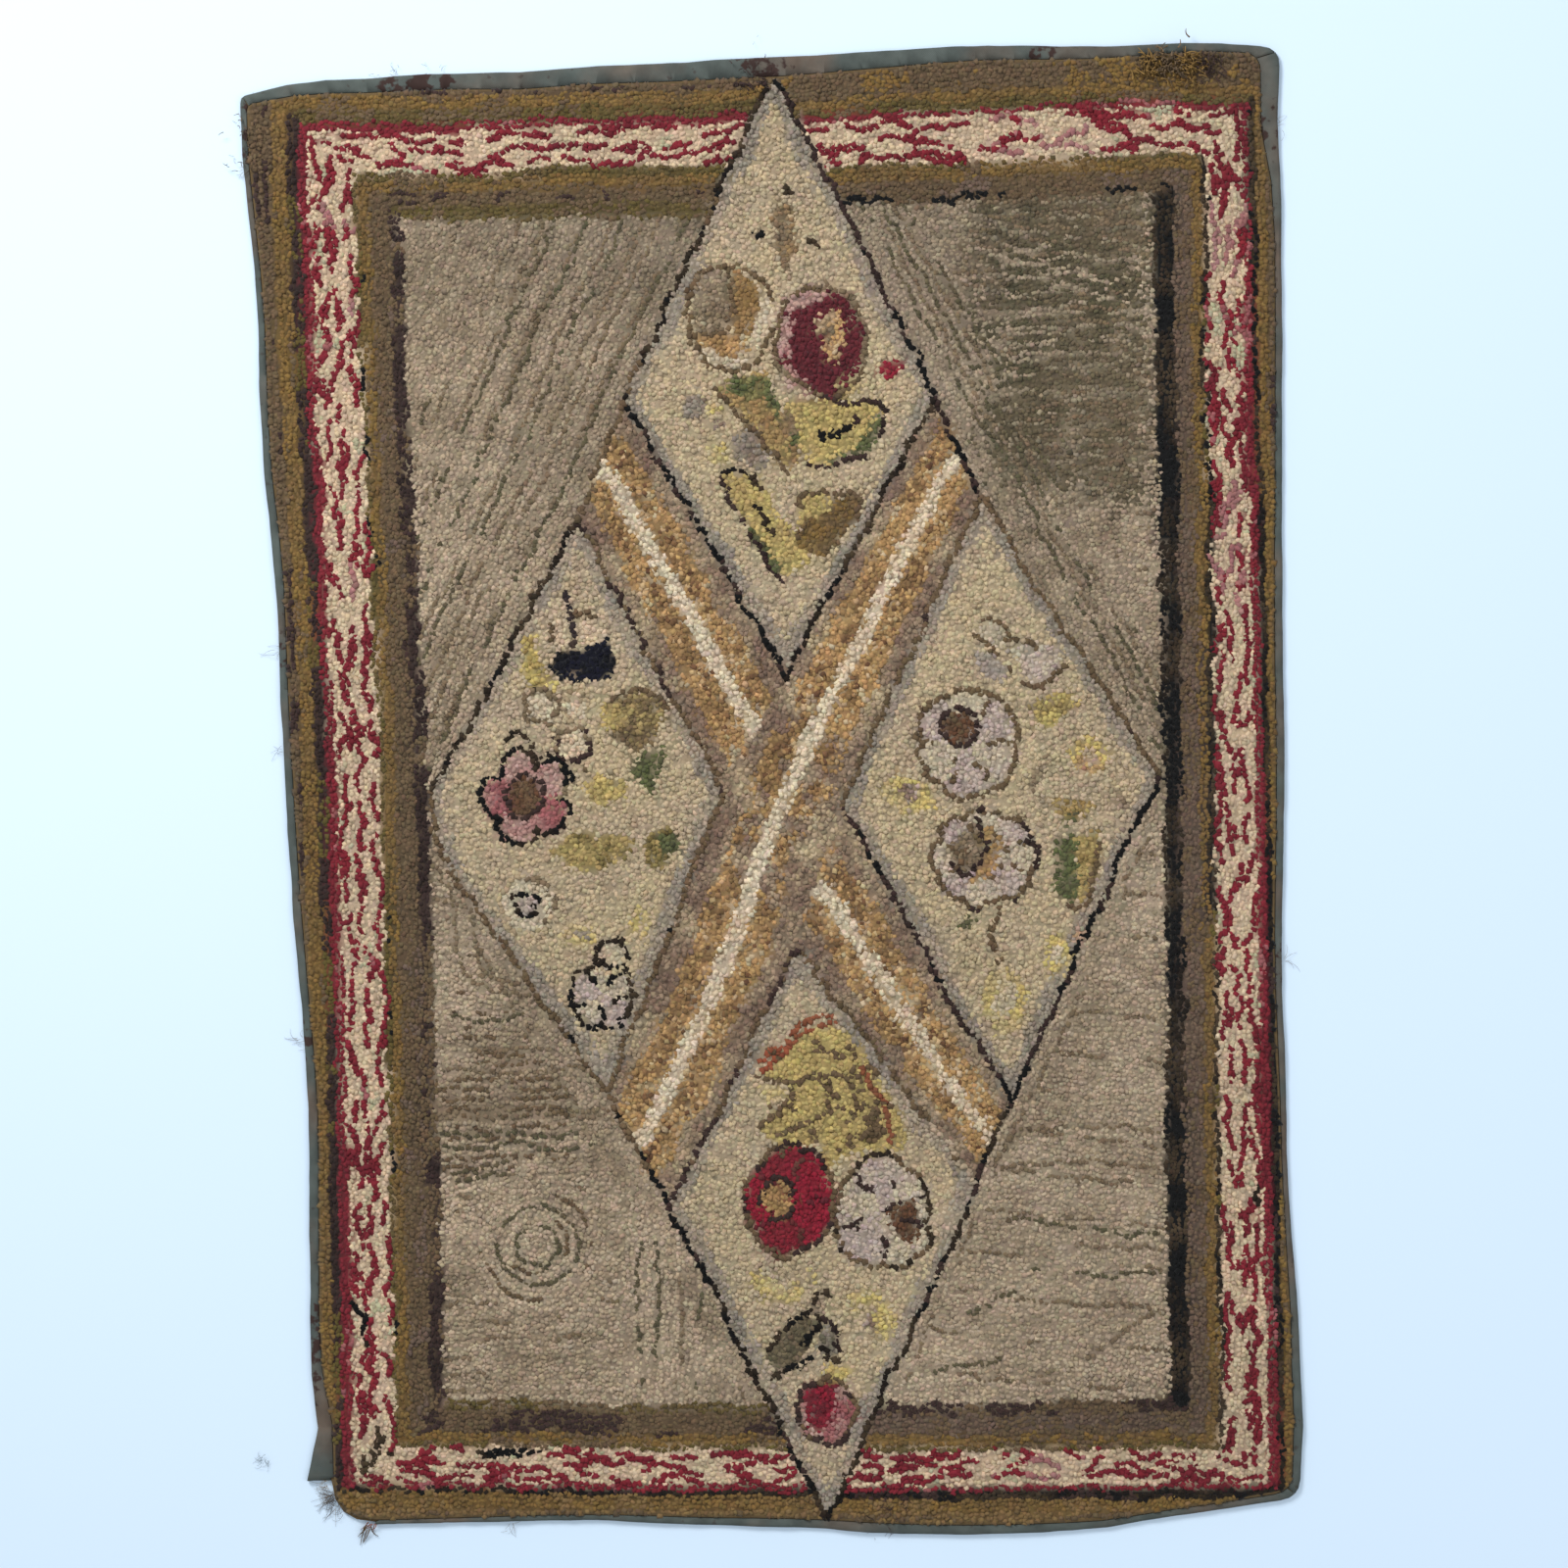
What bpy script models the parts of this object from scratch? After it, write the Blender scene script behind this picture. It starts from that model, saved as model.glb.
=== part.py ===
"""Hooked rug, laid flat and face up.

A burlap foundation carries a dense pile of hooked wool. Its bare margin is folded into
four lengths of cotton tape, one to a side, which are worn through at the lower left
corner. Metres, +Z up: the rug lies in XY with its centre on the origin, its length along
Y, and its back on z = 0.
"""

from collections import namedtuple

import bmesh
import bpy
from mathutils import Vector

MM = 0.001

# Heights above the floor, in millimetres.
PILE_TOP = 7.0
PILE_SHOULDER = 6.4
PILE_WALL = 5.0
TAPE_CLOTH = 1.0
GAP = 0.3
MARGIN_CLOTH = 1.5

# Widths measured inwards from the folded edge, in millimetres.
UNDERLAP = 17.0
MARGIN_INSET = 2.4
FOLD_ROUND = 1.9
PILE_ROUND = 3.0
LEAST_TURN = 3.0
MITRE_GAP = 0.4

# The torn end of the left tape: where it starts to open out, in millimetres short of the
# corner, and how far it stands off the rug's edge.
TORN_LENGTH = 27.0
TORN_FLARE = 16.5

STATIONS_PER_SIDE = 26
TURN_STEPS = 4

# Along: place down the side. Edge: where the folded edge lies. Tape: width of tape that
# shows on the face. All in millimetres.
Station = namedtuple("Station", "along edge tape")

# Name, which coordinate the edge is (0 for x, 1 for y), which way is outwards, and the
# rounding of the corner that ends the side. Sides follow each other anticlockwise.
Side = namedtuple("Side", "name across outward rows turn open_turn")

BOTTOM_ROWS = (
    Station(-336.0, -562.5, 3.0),
    Station(-250.0, -561.0, 4.0),
    Station(-141.0, -558.8, 4.5),
    Station(-46.0, -562.5, 6.0),
    Station(32.0, -564.8, 7.0),
    Station(88.0, -568.5, 7.5),
    Station(159.0, -569.3, 7.0),
    Station(254.0, -564.8, 6.0),
    Station(293.0, -558.0, 5.5),
    Station(350.0, -549.8, 5.5),
    Station(405.0, -541.5, 6.0),
)
RIGHT_ROWS = (
    Station(-541.5, 404.5, 6.0),
    Station(-488.0, 407.3, 7.0),
    Station(-449.0, 405.8, 7.0),
    Station(-392.0, 403.5, 6.0),
    Station(-353.0, 399.8, 5.0),
    Station(-296.0, 396.0, 4.5),
    Station(-226.0, 394.5, 5.0),
    Station(-130.0, 390.8, 5.0),
    Station(4.0, 393.0, 6.0),
    Station(131.0, 391.5, 6.0),
    Station(304.0, 391.5, 5.5),
    Station(412.0, 391.2, 5.5),
    Station(462.0, 390.8, 7.5),
    Station(491.0, 388.8, 10.5),
    Station(517.0, 387.8, 14.0),
    Station(569.0, 390.0, 14.0),
)
TOP_ROWS = (
    Station(-405.0, 531.0, 8.0),
    Station(-357.0, 541.5, 10.0),
    Station(-307.0, 544.5, 11.5),
    Station(-240.0, 548.3, 12.5),
    Station(-193.0, 548.6, 13.0),
    Station(-141.0, 553.5, 14.0),
    Station(-84.0, 555.8, 14.5),
    Station(12.0, 561.0, 15.0),
    Station(82.0, 564.8, 13.0),
    Station(159.0, 569.3, 11.5),
    Station(245.0, 568.5, 9.5),
    Station(332.0, 571.5, 7.0),
    Station(390.0, 568.0, 6.0),
)
LEFT_ROWS = (
    Station(-562.5, -336.0, 3.0),
    Station(-531.0, -337.5, 3.0),
    Station(-503.0, -342.8, 10.5),
    Station(-469.0, -349.5, 11.0),
    Station(-430.0, -351.8, 7.5),
    Station(-354.0, -352.5, 7.0),
    Station(-245.0, -353.3, 7.0),
    Station(-149.0, -360.0, 6.0),
    Station(-73.0, -366.8, 6.5),
    Station(74.0, -375.0, 6.0),
    Station(169.0, -379.5, 6.5),
    Station(247.0, -387.8, 6.0),
    Station(304.0, -390.8, 6.0),
    Station(374.0, -393.0, 5.0),
    Station(451.0, -400.5, 4.5),
    Station(489.0, -404.3, 4.5),
    Station(531.0, -405.8, 5.0),
)
SIDES = (
    Side("bottom", 1, -1, BOTTOM_ROWS, 14.0, False),
    Side("right", 0, 1, RIGHT_ROWS, 15.0, False),
    Side("top", 1, 1, TOP_ROWS, 6.0, False),
    Side("left", 0, -1, LEFT_ROWS, 34.0, True),
)

BURLAP_AND_WOOL = (0.33, 0.24, 0.15, 1.0)
TAPE_GREEN_GREY = (0.10, 0.12, 0.10, 1.0)
WOOL_ROUGHNESS = 0.95
TAPE_ROUGHNESS = 0.85


def smooth_value(rows, along, column):
    """A column of a side's table at any place along it, joined by a smooth curve."""
    along = min(max(along, rows[0].along), rows[-1].along)
    last = len(rows) - 2
    here = min(max(i for i, row in enumerate(rows) if row.along <= along), last)

    def slope(i):
        low, high = rows[max(i - 1, 0)], rows[min(i + 1, last + 1)]
        return (getattr(high, column) - getattr(low, column)) / (high.along - low.along)

    start, end = rows[here], rows[here + 1]
    span = end.along - start.along
    t = (along - start.along) / span
    return (
        getattr(start, column) * (1 + 2 * t) * (1 - t) ** 2
        + getattr(end, column) * t * t * (3 - 2 * t)
        + span * slope(here) * t * (1 - t) ** 2
        - span * slope(here + 1) * t * t * (1 - t)
    )


def edge_point(side, along, tape_share, inset):
    """A point that many tape widths plus inset inside the folded edge."""
    inwards = tape_share * smooth_value(side.rows, along, "tape") + inset
    edge = smooth_value(side.rows, along, "edge") - side.outward * inwards
    return Vector((edge, along) if side.across == 0 else (along, edge))


def corner_point(side, after, tape_share, inset):
    """Where a side meets the one after it, both moved inwards alike."""
    point = Vector((0.0, 0.0))
    point[side.across] = side.rows[0].edge
    point[after.across] = after.rows[0].edge
    for _ in range(6):
        on_side = edge_point(side, point[after.across], tape_share, inset)
        on_after = edge_point(after, point[side.across], tape_share, inset)
        point = Vector((0.0, 0.0))
        point[side.across] = on_side[side.across]
        point[after.across] = on_after[after.across]
    return point


def rug_loop(tape_share=0.0, inset=0.0):
    """Points round the rug, anticlockwise from the lower left, as one list to a side.

    Each list holds the side's straight run and then the turn into the next side.
    """
    corners = [
        corner_point(side, SIDES[(i + 1) % len(SIDES)], tape_share, inset)
        for i, side in enumerate(SIDES)
    ]
    loop = []
    for i, side in enumerate(SIDES):
        run_axis = 1 - side.across
        start, end = corners[i - 1][run_axis], corners[i][run_axis]
        forward = 1 if end > start else -1
        turn_in = max(SIDES[i - 1].turn - inset, LEAST_TURN)
        turn_out = max(side.turn - inset, LEAST_TURN)
        first, last = start + forward * turn_in, end - forward * turn_out
        run = [
            edge_point(side, first + (last - first) * k / STATIONS_PER_SIDE, tape_share, inset)
            for k in range(STATIONS_PER_SIDE + 1)
        ]
        after = SIDES[(i + 1) % len(SIDES)]
        leave_axis = 1 - after.across
        towards = 1 if corners[(i + 1) % len(SIDES)][leave_axis] > corners[i][leave_axis] else -1
        next_start = edge_point(
            after, corners[i][leave_axis] + towards * turn_out, tape_share, inset
        )
        for k in range(1, TURN_STEPS):
            t = k / TURN_STEPS
            bend = run[STATIONS_PER_SIDE] * (1 - t) ** 2 + corners[i] * 2 * t * (1 - t)
            run.append(bend + next_start * t * t)
        loop.append(run)
    return loop


def middle_of(loop):
    points = [point for run in loop for point in run]
    low = Vector(min(p[axis] for p in points) for axis in (0, 1))
    high = Vector(max(p[axis] for p in points) for axis in (0, 1))
    return (low + high) / 2


def placed(point, middle, height):
    """A point of a loop as a corner of the mesh, in metres about the rug's middle."""
    return ((point.x - middle.x) * MM, (point.y - middle.y) * MM, height * MM)


def make_material(name, colour, roughness):
    material = bpy.data.materials.new(name)
    material.use_nodes = True
    shader = material.node_tree.nodes["Principled BSDF"]
    shader.inputs["Base Color"].default_value = colour
    shader.inputs["Roughness"].default_value = roughness
    shader.inputs["Metallic"].default_value = 0.0
    return material


def add_object(name, shape, material, collection):
    mesh = bpy.data.meshes.new(name)
    shape.to_mesh(mesh)
    shape.free()
    mesh.materials.append(material)
    piece = bpy.data.objects.new(name, mesh)
    collection.objects.link(piece)
    return piece


def add_ground(middle, material, collection):
    """The burlap and its pile as one closed body: rings from the back, round the bare
    margin that lies between the tape's two leaves, and up the pile to its top."""
    margin_low = TAPE_CLOTH + GAP
    margin_high = margin_low + MARGIN_CLOTH
    rings = (
        (0.0, UNDERLAP + 2 * GAP, 0.0),
        (0.0, UNDERLAP + GAP, margin_low),
        (0.0, MARGIN_INSET, margin_low),
        (0.0, MARGIN_INSET, margin_high),
        (1.0, 2 * GAP, margin_high),
        (1.0, 2 * GAP, PILE_WALL),
        (1.0, 2 * GAP + PILE_ROUND / 3, PILE_SHOULDER),
        (1.0, 2 * GAP + PILE_ROUND, PILE_TOP),
    )
    shape = bmesh.new()
    made = []
    for tape_share, inset, height in rings:
        points = [p for run in rug_loop(tape_share, inset) for p in run]
        made.append([shape.verts.new(placed(p, middle, height)) for p in points])
    for lower, upper in zip(made, made[1:]):
        for i in range(len(lower)):
            shape.faces.new((lower[i - 1], lower[i], upper[i], upper[i - 1]))
    shape.faces.new(reversed(made[0]))
    shape.faces.new(made[-1])
    bmesh.ops.triangulate(shape, faces=shape.faces[:])
    bmesh.ops.recalc_face_normals(shape, faces=shape.faces[:])
    return add_object("hooked_ground", shape, material, collection)


def flare_at(side, point):
    """How far the torn end of the left tape stands off the edge at this place."""
    if not side.open_turn:
        return 0.0
    torn_end = side.rows[0].along + side.turn
    t = min(max(1 - (point.y - torn_end) / TORN_LENGTH, 0.0), 1.0)
    return TORN_FLARE * t * t


def strip_stations(index, loop):
    """The points of one loop that a side's tape covers, from mitre to mitre.

    The strip stops a little short of each mitre, and short of the whole turn where the
    corner has worn through.
    """
    before, run = loop[index - 1], loop[index]
    straight = STATIONS_PER_SIDE + 1
    half = TURN_STEPS // 2
    lead_in = [] if SIDES[index - 1].open_turn else before[straight + half - 1 :]
    lead_out = [] if SIDES[index].open_turn else run[straight : straight + half]
    points = lead_in + run[:straight] + lead_out
    if lead_in:
        points[0] = points[0] + (points[1] - points[0]).normalized() * MITRE_GAP
    if lead_out:
        points[-1] = points[-1] + (points[-2] - points[-1]).normalized() * MITRE_GAP
    return points


def add_tape(index, middle, material, collection):
    """One length of tape: an open sheet folded over the edge, given its cloth's thickness
    inwards, so that the burlap margin fits between its leaves."""
    side = SIDES[index]
    top = 2 * TAPE_CLOTH + 2 * GAP + MARGIN_CLOTH
    profile = (
        (1.0, 0.0, top),
        (0.0, FOLD_ROUND, top),
        (0.0, FOLD_ROUND * 0.3, top * 0.82),
        (0.0, 0.0, top * 0.5),
        (0.0, FOLD_ROUND * 0.3, top * 0.18),
        (0.0, FOLD_ROUND, 0.0),
        (0.0, UNDERLAP, 0.0),
    )
    shape = bmesh.new()
    lines = []
    for tape_share, inset, height in profile:
        points = strip_stations(index, rug_loop(tape_share, inset))
        moves = inset < UNDERLAP and tape_share == 0.0
        line = []
        for point in points:
            flare = flare_at(side, point) if moves else 0.0
            out = Vector((side.outward, 0.0)) if side.across == 0 else Vector((0.0, side.outward))
            line.append(shape.verts.new(placed(point + out * flare, middle, height)))
        lines.append(line)
    for upper, lower in zip(lines, lines[1:]):
        for i in range(1, len(upper)):
            shape.faces.new((upper[i - 1], lower[i - 1], lower[i], upper[i]))
    piece = add_object("binding_" + side.name, shape, material, collection)
    cloth = piece.modifiers.new("Tape cloth", "SOLIDIFY")
    cloth.thickness = TAPE_CLOTH * MM
    cloth.offset = -1.0
    cloth.use_even_offset = True
    return piece


def main():
    for old in list(bpy.data.objects):
        bpy.data.objects.remove(old, do_unlink=True)
    rug = bpy.data.collections.new("Hooked rug")
    bpy.context.scene.collection.children.link(rug)
    middle = middle_of(rug_loop())
    wool = make_material("Burlap and wool", BURLAP_AND_WOOL, WOOL_ROUGHNESS)
    tape = make_material("Cotton tape", TAPE_GREEN_GREY, TAPE_ROUGHNESS)
    add_ground(middle, wool, rug)
    for index in range(len(SIDES)):
        add_tape(index, middle, tape, rug)


main()
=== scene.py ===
"""Hooked rug: the wool pile, its foundation and its worn tape binding.

The pile is hooked row by row on a plan of the rug: outlines first, then the bands, the
lozenges with their flowers, the border and the grounds, and last whatever gaps are left.
Each loop of yarn is a small closed mesh with its own shade.
"""

import math
from collections import namedtuple

import bmesh
import bpy
import numpy as np
from mathutils import Matrix, Vector


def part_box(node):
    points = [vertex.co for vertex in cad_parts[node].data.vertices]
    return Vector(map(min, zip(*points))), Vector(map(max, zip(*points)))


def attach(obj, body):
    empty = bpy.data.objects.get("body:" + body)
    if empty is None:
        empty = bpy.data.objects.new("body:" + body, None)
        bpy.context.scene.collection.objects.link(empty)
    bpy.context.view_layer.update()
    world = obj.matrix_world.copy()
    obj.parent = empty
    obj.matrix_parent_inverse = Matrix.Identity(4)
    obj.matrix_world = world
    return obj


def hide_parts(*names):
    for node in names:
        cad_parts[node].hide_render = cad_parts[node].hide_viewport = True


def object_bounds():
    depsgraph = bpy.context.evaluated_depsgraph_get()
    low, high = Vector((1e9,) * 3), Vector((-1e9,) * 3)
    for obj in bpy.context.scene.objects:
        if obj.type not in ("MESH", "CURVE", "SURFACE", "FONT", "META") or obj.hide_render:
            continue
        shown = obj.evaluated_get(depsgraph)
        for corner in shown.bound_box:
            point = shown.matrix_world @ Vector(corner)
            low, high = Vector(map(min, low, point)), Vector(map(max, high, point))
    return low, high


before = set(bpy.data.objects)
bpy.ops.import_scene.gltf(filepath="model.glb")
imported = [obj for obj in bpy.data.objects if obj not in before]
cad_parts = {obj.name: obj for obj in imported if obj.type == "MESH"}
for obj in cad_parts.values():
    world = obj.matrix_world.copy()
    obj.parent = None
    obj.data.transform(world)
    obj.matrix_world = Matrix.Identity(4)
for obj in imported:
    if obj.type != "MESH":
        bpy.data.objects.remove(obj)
CAD_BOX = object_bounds()

bl_info = {
    "name": "Hooked Rug",
    "version": (1, 0, 0),
    "blender": (4, 5, 0),
    "location": "View3D > Sidebar > Hooked Rug",
    "description": "Hooks a wool rug with flowers in a diamond and binds it with tape",
    "category": "Add Mesh",
}

MM = 0.001


# ---------------------------------------------------------------- settings


def yarn_colour(name, words, code):
    """A colour property for one yarn, with its default given as a display colour."""
    shown = [int(code[i : i + 2], 16) / 255 for i in (0, 2, 4)]
    linear = [c / 12.92 if c <= 0.04045 else ((c + 0.055) / 1.055) ** 2.4 for c in shown]
    return bpy.props.FloatVectorProperty(
        name=name, description=words, subtype="COLOR", size=3, min=0.0, max=1.0, default=linear
    )


class HookedRugYarns(bpy.types.PropertyGroup):
    """Colours of the yarns, the tape and the burlap."""

    crimson: yarn_colour("Crimson", "Strokes and line of the border", "75222B")
    rose: yarn_colour("Faded rose", "Faded crimson in the border", "8E5454")
    cream: yarn_colour("Cream", "Ground of the stroked border", "C2A98D")
    sage: yarn_colour("Sage cream", "Greener cream in the border", "A59E80")
    gold: yarn_colour("Gold", "Gold border lines", "745A30")
    tan: yarn_colour("Tan", "Outer border row", "755D3B")
    olive: yarn_colour("Olive", "Thin olive lines", "584B26")
    umber: yarn_colour("Umber", "Wide brown border band", "604E39")
    slate: yarn_colour("Slate brown", "Greyer brown border band", "645245")
    dusk: yarn_colour("Dusk", "Dark purple brown next to the ground", "382925")
    black: yarn_colour("Black", "Outlines", "0C0807")
    taupe: yarn_colour("Taupe", "Ground of the four corners", "A8957D")
    clay: yarn_colour("Clay", "Darker rows of the ground", "75644E")
    moss: yarn_colour("Moss grey", "Green grey rows of the ground", "524C37")
    beige: yarn_colour("Beige", "Ground of the lozenges", "B19E7E")
    mist: yarn_colour("Mist", "Blue grey rows inside the lozenges", "8A7F71")
    mauve: yarn_colour("Mauve", "Rows along the crossed bands", "776050")
    ochre: yarn_colour("Ochre", "Deep loops of the crossed bands", "8B6D47")
    honey: yarn_colour("Honey", "Lighter loops of the crossed bands", "AC885A")
    ivory: yarn_colour("Ivory", "Centre stripe of the crossed bands", "C9BAA0")
    white: yarn_colour("Off white", "White petals", "B7A88E")
    petal_pink: yarn_colour("Petal pink", "Pink petals", "A98A7E")
    petal_lilac: yarn_colour("Petal lilac", "Mauve grey petals", "AB988E")
    burgundy: yarn_colour("Burgundy", "Dark red petals", "592127")
    scarlet: yarn_colour("Scarlet", "Bright red petals", "851C2D")
    heart: yarn_colour("Flower heart", "Brown flower centres", "5B3D2A")
    leaf: yarn_colour("Leaf green", "Green leaves", "555936")
    lime: yarn_colour("Lime", "Yellow green leaves", "A58F5C")
    straw: yarn_colour("Straw", "Pale yellow buds", "BBA666")
    navy: yarn_colour("Navy", "Blue bell", "01051C")
    brick: yarn_colour("Brick", "Small red brown strip", "8A4A33")
    tape: yarn_colour("Tape", "Cotton binding tape", "4D534F")
    burlap: yarn_colour("Burlap", "Foundation cloth", "8A7048")


def length(name, words, default):
    """A property for one size of the hooking."""
    return bpy.props.FloatProperty(name=name, description=words, default=default, unit="LENGTH")


class HookedRugSizes(bpy.types.PropertyGroup):
    """Sizes of the hooking."""

    step: length("Loop spacing", "From one loop to the next along a row", 2.8 * MM)
    row: length("Row spacing", "From one row of loops to the next", 3.5 * MM)
    top: length("Pile height", "Top of the tallest loops above the floor", CAD_BOX[1][2])
    floor_cover: length(
        "Foundation height", "Top of the foundation and feet of the loops", 5.0 * MM
    )


# ---------------------------------------------------------------- the rug's plan, in millimetres


def cad_ring(level):
    """The corners of the rug's solid at one of its heights, anticlockwise."""
    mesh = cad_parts["hooked_ground"].data
    corners = np.array([v.co for v in mesh.vertices]) / MM
    heights = np.unique(corners[:, 2].round(1))
    ring = corners[np.abs(corners[:, 2] - heights[level]) < 0.05, :2]
    ring = np.unique(ring.round(2), axis=0)
    ring = ring[np.argsort(np.arctan2(ring[:, 1], ring[:, 0]))]
    return np.roll(ring, -int(np.argmin(ring.sum(1))), axis=0)


PILE_RING = cad_ring(3)


def rim_sides():
    """The pile's rim as four curves of place along the side against place across it."""
    ring = PILE_RING
    right, top, left = (
        int(np.argmax(ring @ way)) for way in ((1.0, -1.0), (1.0, 1.0), (-1.0, 1.0))
    )
    lower, upper = ring[: right + 1], ring[top : left + 1][::-1]
    side, other = ring[right : top + 1], np.vstack((ring[left:], ring[:1]))[::-1]
    return {
        "left": (other[:, 1], other[:, 0]),
        "right": (side[:, 1], side[:, 0]),
        "bottom": (lower[:, 0], lower[:, 1]),
        "top": (upper[:, 0], upper[:, 1]),
    }


RIM = rim_sides()
SIDES = ("left", "right", "bottom", "top")
OUTWARD = {"left": -1, "right": 1, "bottom": -1, "top": 1}
ACROSS = {"left": 0, "right": 0, "bottom": 1, "top": 1}

# The edges of the inner ground, as places along the side against places across it.
GROUND_EDGE = {
    "left": ((-468.0, -146.0, 153.0, 437.0), (-249.5, -257.5, -269.5, -285.5)),
    "right": ((-468.0, 153.0, 454.0), (304.0, 296.5, 291.5)),
    "bottom": ((-249.5, 30.0, 304.0), (-468.0, -470.0, -467.0)),
    "top": ((-285.5, -60.0, 90.0, 291.5), (434.0, 437.0, 448.0, 454.5)),
}

# Corners of the diamond, of its four lozenges and of the bands that cross between them.
POINTS = {
    "top": (1.0, 545.0),
    "top_right": (127.0, 301.0),
    "right_top": (159.5, 221.0),
    "right": (296.0, 11.0),
    "right_low": (182.0, -240.5),
    "low_right": (158.0, -304.0),
    "low": (41.5, -559.0),
    "low_left": (-78.5, -317.5),
    "left_low": (-124.0, -235.0),
    "left_blunt": (-253.0, -50.5),
    "left": (-260.0, -2.0),
    "left_top": (-148.0, 206.0),
    "top_left": (-113.0, 296.0),
    "cross_top": (11.5, 87.5),
    "cross_left": (-38.0, -4.0),
    "cross_low": (20.5, -120.5),
    "cross_right": (52.0, -11.5),
}
LOZENGES = {
    "top": "top top_left cross_top top_right".split(),
    "left": "left_top left left_blunt left_low cross_left".split(),
    "right": "right_top cross_right right_low right".split(),
    "bottom": "cross_low low_left low low_right".split(),
}
# The two edges of each crossed band, from its upper to its lower end.
BANDS = {
    "over": (
        "top_right cross_top cross_left left_low".split(),
        "right_top cross_right cross_low low_left".split(),
    ),
    "under_top": (
        "top_left cross_top".split(),
        "left_top cross_left".split(),
    ),
    "under_low": (
        "cross_right right_low".split(),
        "cross_low low_right".split(),
    ),
}

Band = namedtuple("Band", "yarn near far")
# Bands from the ground outwards, with their widths at the side's lower or left end and at
# its upper or right end. The last runs on to the rim, whatever width is left.
BORDER = {
    "left": (
        Band("dusk/umber/0.4", 11.0, 8.5),
        Band("umber/slate/0.3", 18.0, 14.0),
        Band("gold/umber/0.15", 7.0, 8.0),
        Band("olive/black/0.3", 4.0, 3.0),
        Band("strokes", 30.0, 35.0),
        Band("crimson/rose/0.2", 9.0, 6.0),
        Band("dusk/olive/0.4", 5.0, 10.0),
        Band("gold/umber/0.15", 11.0, 12.0),
        Band("umber/dusk/0.4", 0.5, 11.0),
    ),
    "right": (
        Band("black", 14.5, 15.0),
        Band("slate/umber/0.4", 15.0, 13.5),
        Band("gold/umber/0.15", 8.0, 6.0),
        Band("black/olive/0.3", 4.0, 6.0),
        Band("strokes", 33.0, 27.0),
        Band("crimson/rose/0.2", 8.0, 5.5),
        Band("black/dusk/0.2", 5.5, 5.0),
        Band("gold/umber/0.2", 7.5, 8.0),
        Band("umber/dusk/0.3", 0.5, 9.0),
    ),
    "top_left": (
        Band("olive/umber/0.4", 11.0, 15.0),
        Band("umber/dusk/0.3", 10.0, 14.0),
        Band("gold/umber/0.2", 7.5, 7.5),
        Band("olive/umber/0.3", 7.0, 4.5),
        Band("strokes", 31.0, 34.0),
        Band("crimson/rose/0.2", 7.5, 5.0),
        Band("olive/umber/0.4", 11.0, 6.0),
        Band("gold/umber/0.2", 10.5, 8.0),
        Band("umber/dusk/0.3", 5.0, 9.0),
    ),
    "top_right": (
        Band("umber/black/0.6", 4.0, 6.0),
        Band("umber/slate/0.5", 13.0, 12.0),
        Band("gold/umber/0.2", 9.0, 9.0),
        Band("olive/umber/0.3", 3.0, 2.0),
        Band("strokes", 34.0, 36.0),
        Band("crimson/rose/0.3", 5.0, 5.0),
        Band("olive/umber/0.4", 6.0, 6.0),
        Band("gold/umber/0.2", 7.5, 7.5),
        Band("umber/gold/0.4", 12.0, 18.0),
    ),
    "bottom_left": (
        Band("olive/umber/0.5", 7.5, 7.5),
        Band("umber/dusk/0.4", 17.0, 17.0),
        Band("gold/umber/0.2", 7.0, 7.0),
        Band("olive/umber/0.3", 3.0, 4.5),
        Band("strokes", 27.0, 24.0),
        Band("crimson/rose/0.3", 5.0, 8.0),
        Band("black/dusk/0.3", 3.0, 2.5),
        Band("gold/tan/0.3", 12.0, 10.0),
        Band("tan/umber/0.4", 5.0, 9.0),
    ),
    "bottom_right": (
        Band("umber/dusk/0.6", 8.0, 9.0),
        Band("slate/umber/0.4", 16.0, 15.0),
        Band("gold/umber/0.2", 7.5, 8.0),
        Band("olive/umber/0.3", 4.5, 5.0),
        Band("strokes", 26.0, 26.0),
        Band("crimson/rose/0.2", 6.0, 5.0),
        Band("black/dusk/0.3", 1.5, 7.0),
        Band("gold/tan/0.2", 9.0, 9.0),
        Band("tan/umber/0.4", 12.0, 8.0),
    ),
}

BAND_COUNT = len(BORDER["left"])

# Yarn names such as "umber/black/0.4" stand for umber with black in four tenths of its
# length, and "moss//0.4" leaves that much of the row in the colour of its ground.
Outline = namedtuple("Outline", "start end yarn")
OUTLINES = (
    Outline("top", "top_left", "black/umber/0.3"),
    Outline("top_left", "left_top", "umber/black/0.2"),
    Outline("left_top", "left", "black/dusk/0.2"),
    Outline("left", "left_blunt", "umber/black/0.5"),
    Outline("left_blunt", "left_low", "umber/black/0.45"),
    Outline("left_low", "low_left", "umber/black/0.45"),
    Outline("low_left", "low", "black/dusk/0.15"),
    Outline("low", "low_right", "black/dusk/0.15"),
    Outline("low_right", "right_low", "black/dusk/0.2"),
    Outline("right_low", "right", "dusk/black/0.5"),
    Outline("right", "right_top", "umber/dusk/0.3"),
    Outline("right_top", "top_right", "dusk/black/0.4"),
    Outline("top_right", "top", "dusk/black/0.4"),
    Outline("top_left", "cross_top", "dusk/black/0.5"),
    Outline("cross_top", "top_right", "black/dusk/0.1"),
    Outline("left_top", "cross_left", "dusk/umber/0.5"),
    Outline("cross_left", "left_low", "umber/black/0.2"),
    Outline("low_left", "cross_low", "umber/dusk/0.5"),
    Outline("cross_low", "low_right", "umber/taupe/0.3"),
    Outline("right_low", "cross_right", "dusk/black/0.3"),
    Outline("cross_right", "right_top", "umber/dusk/0.4"),
)

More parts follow.
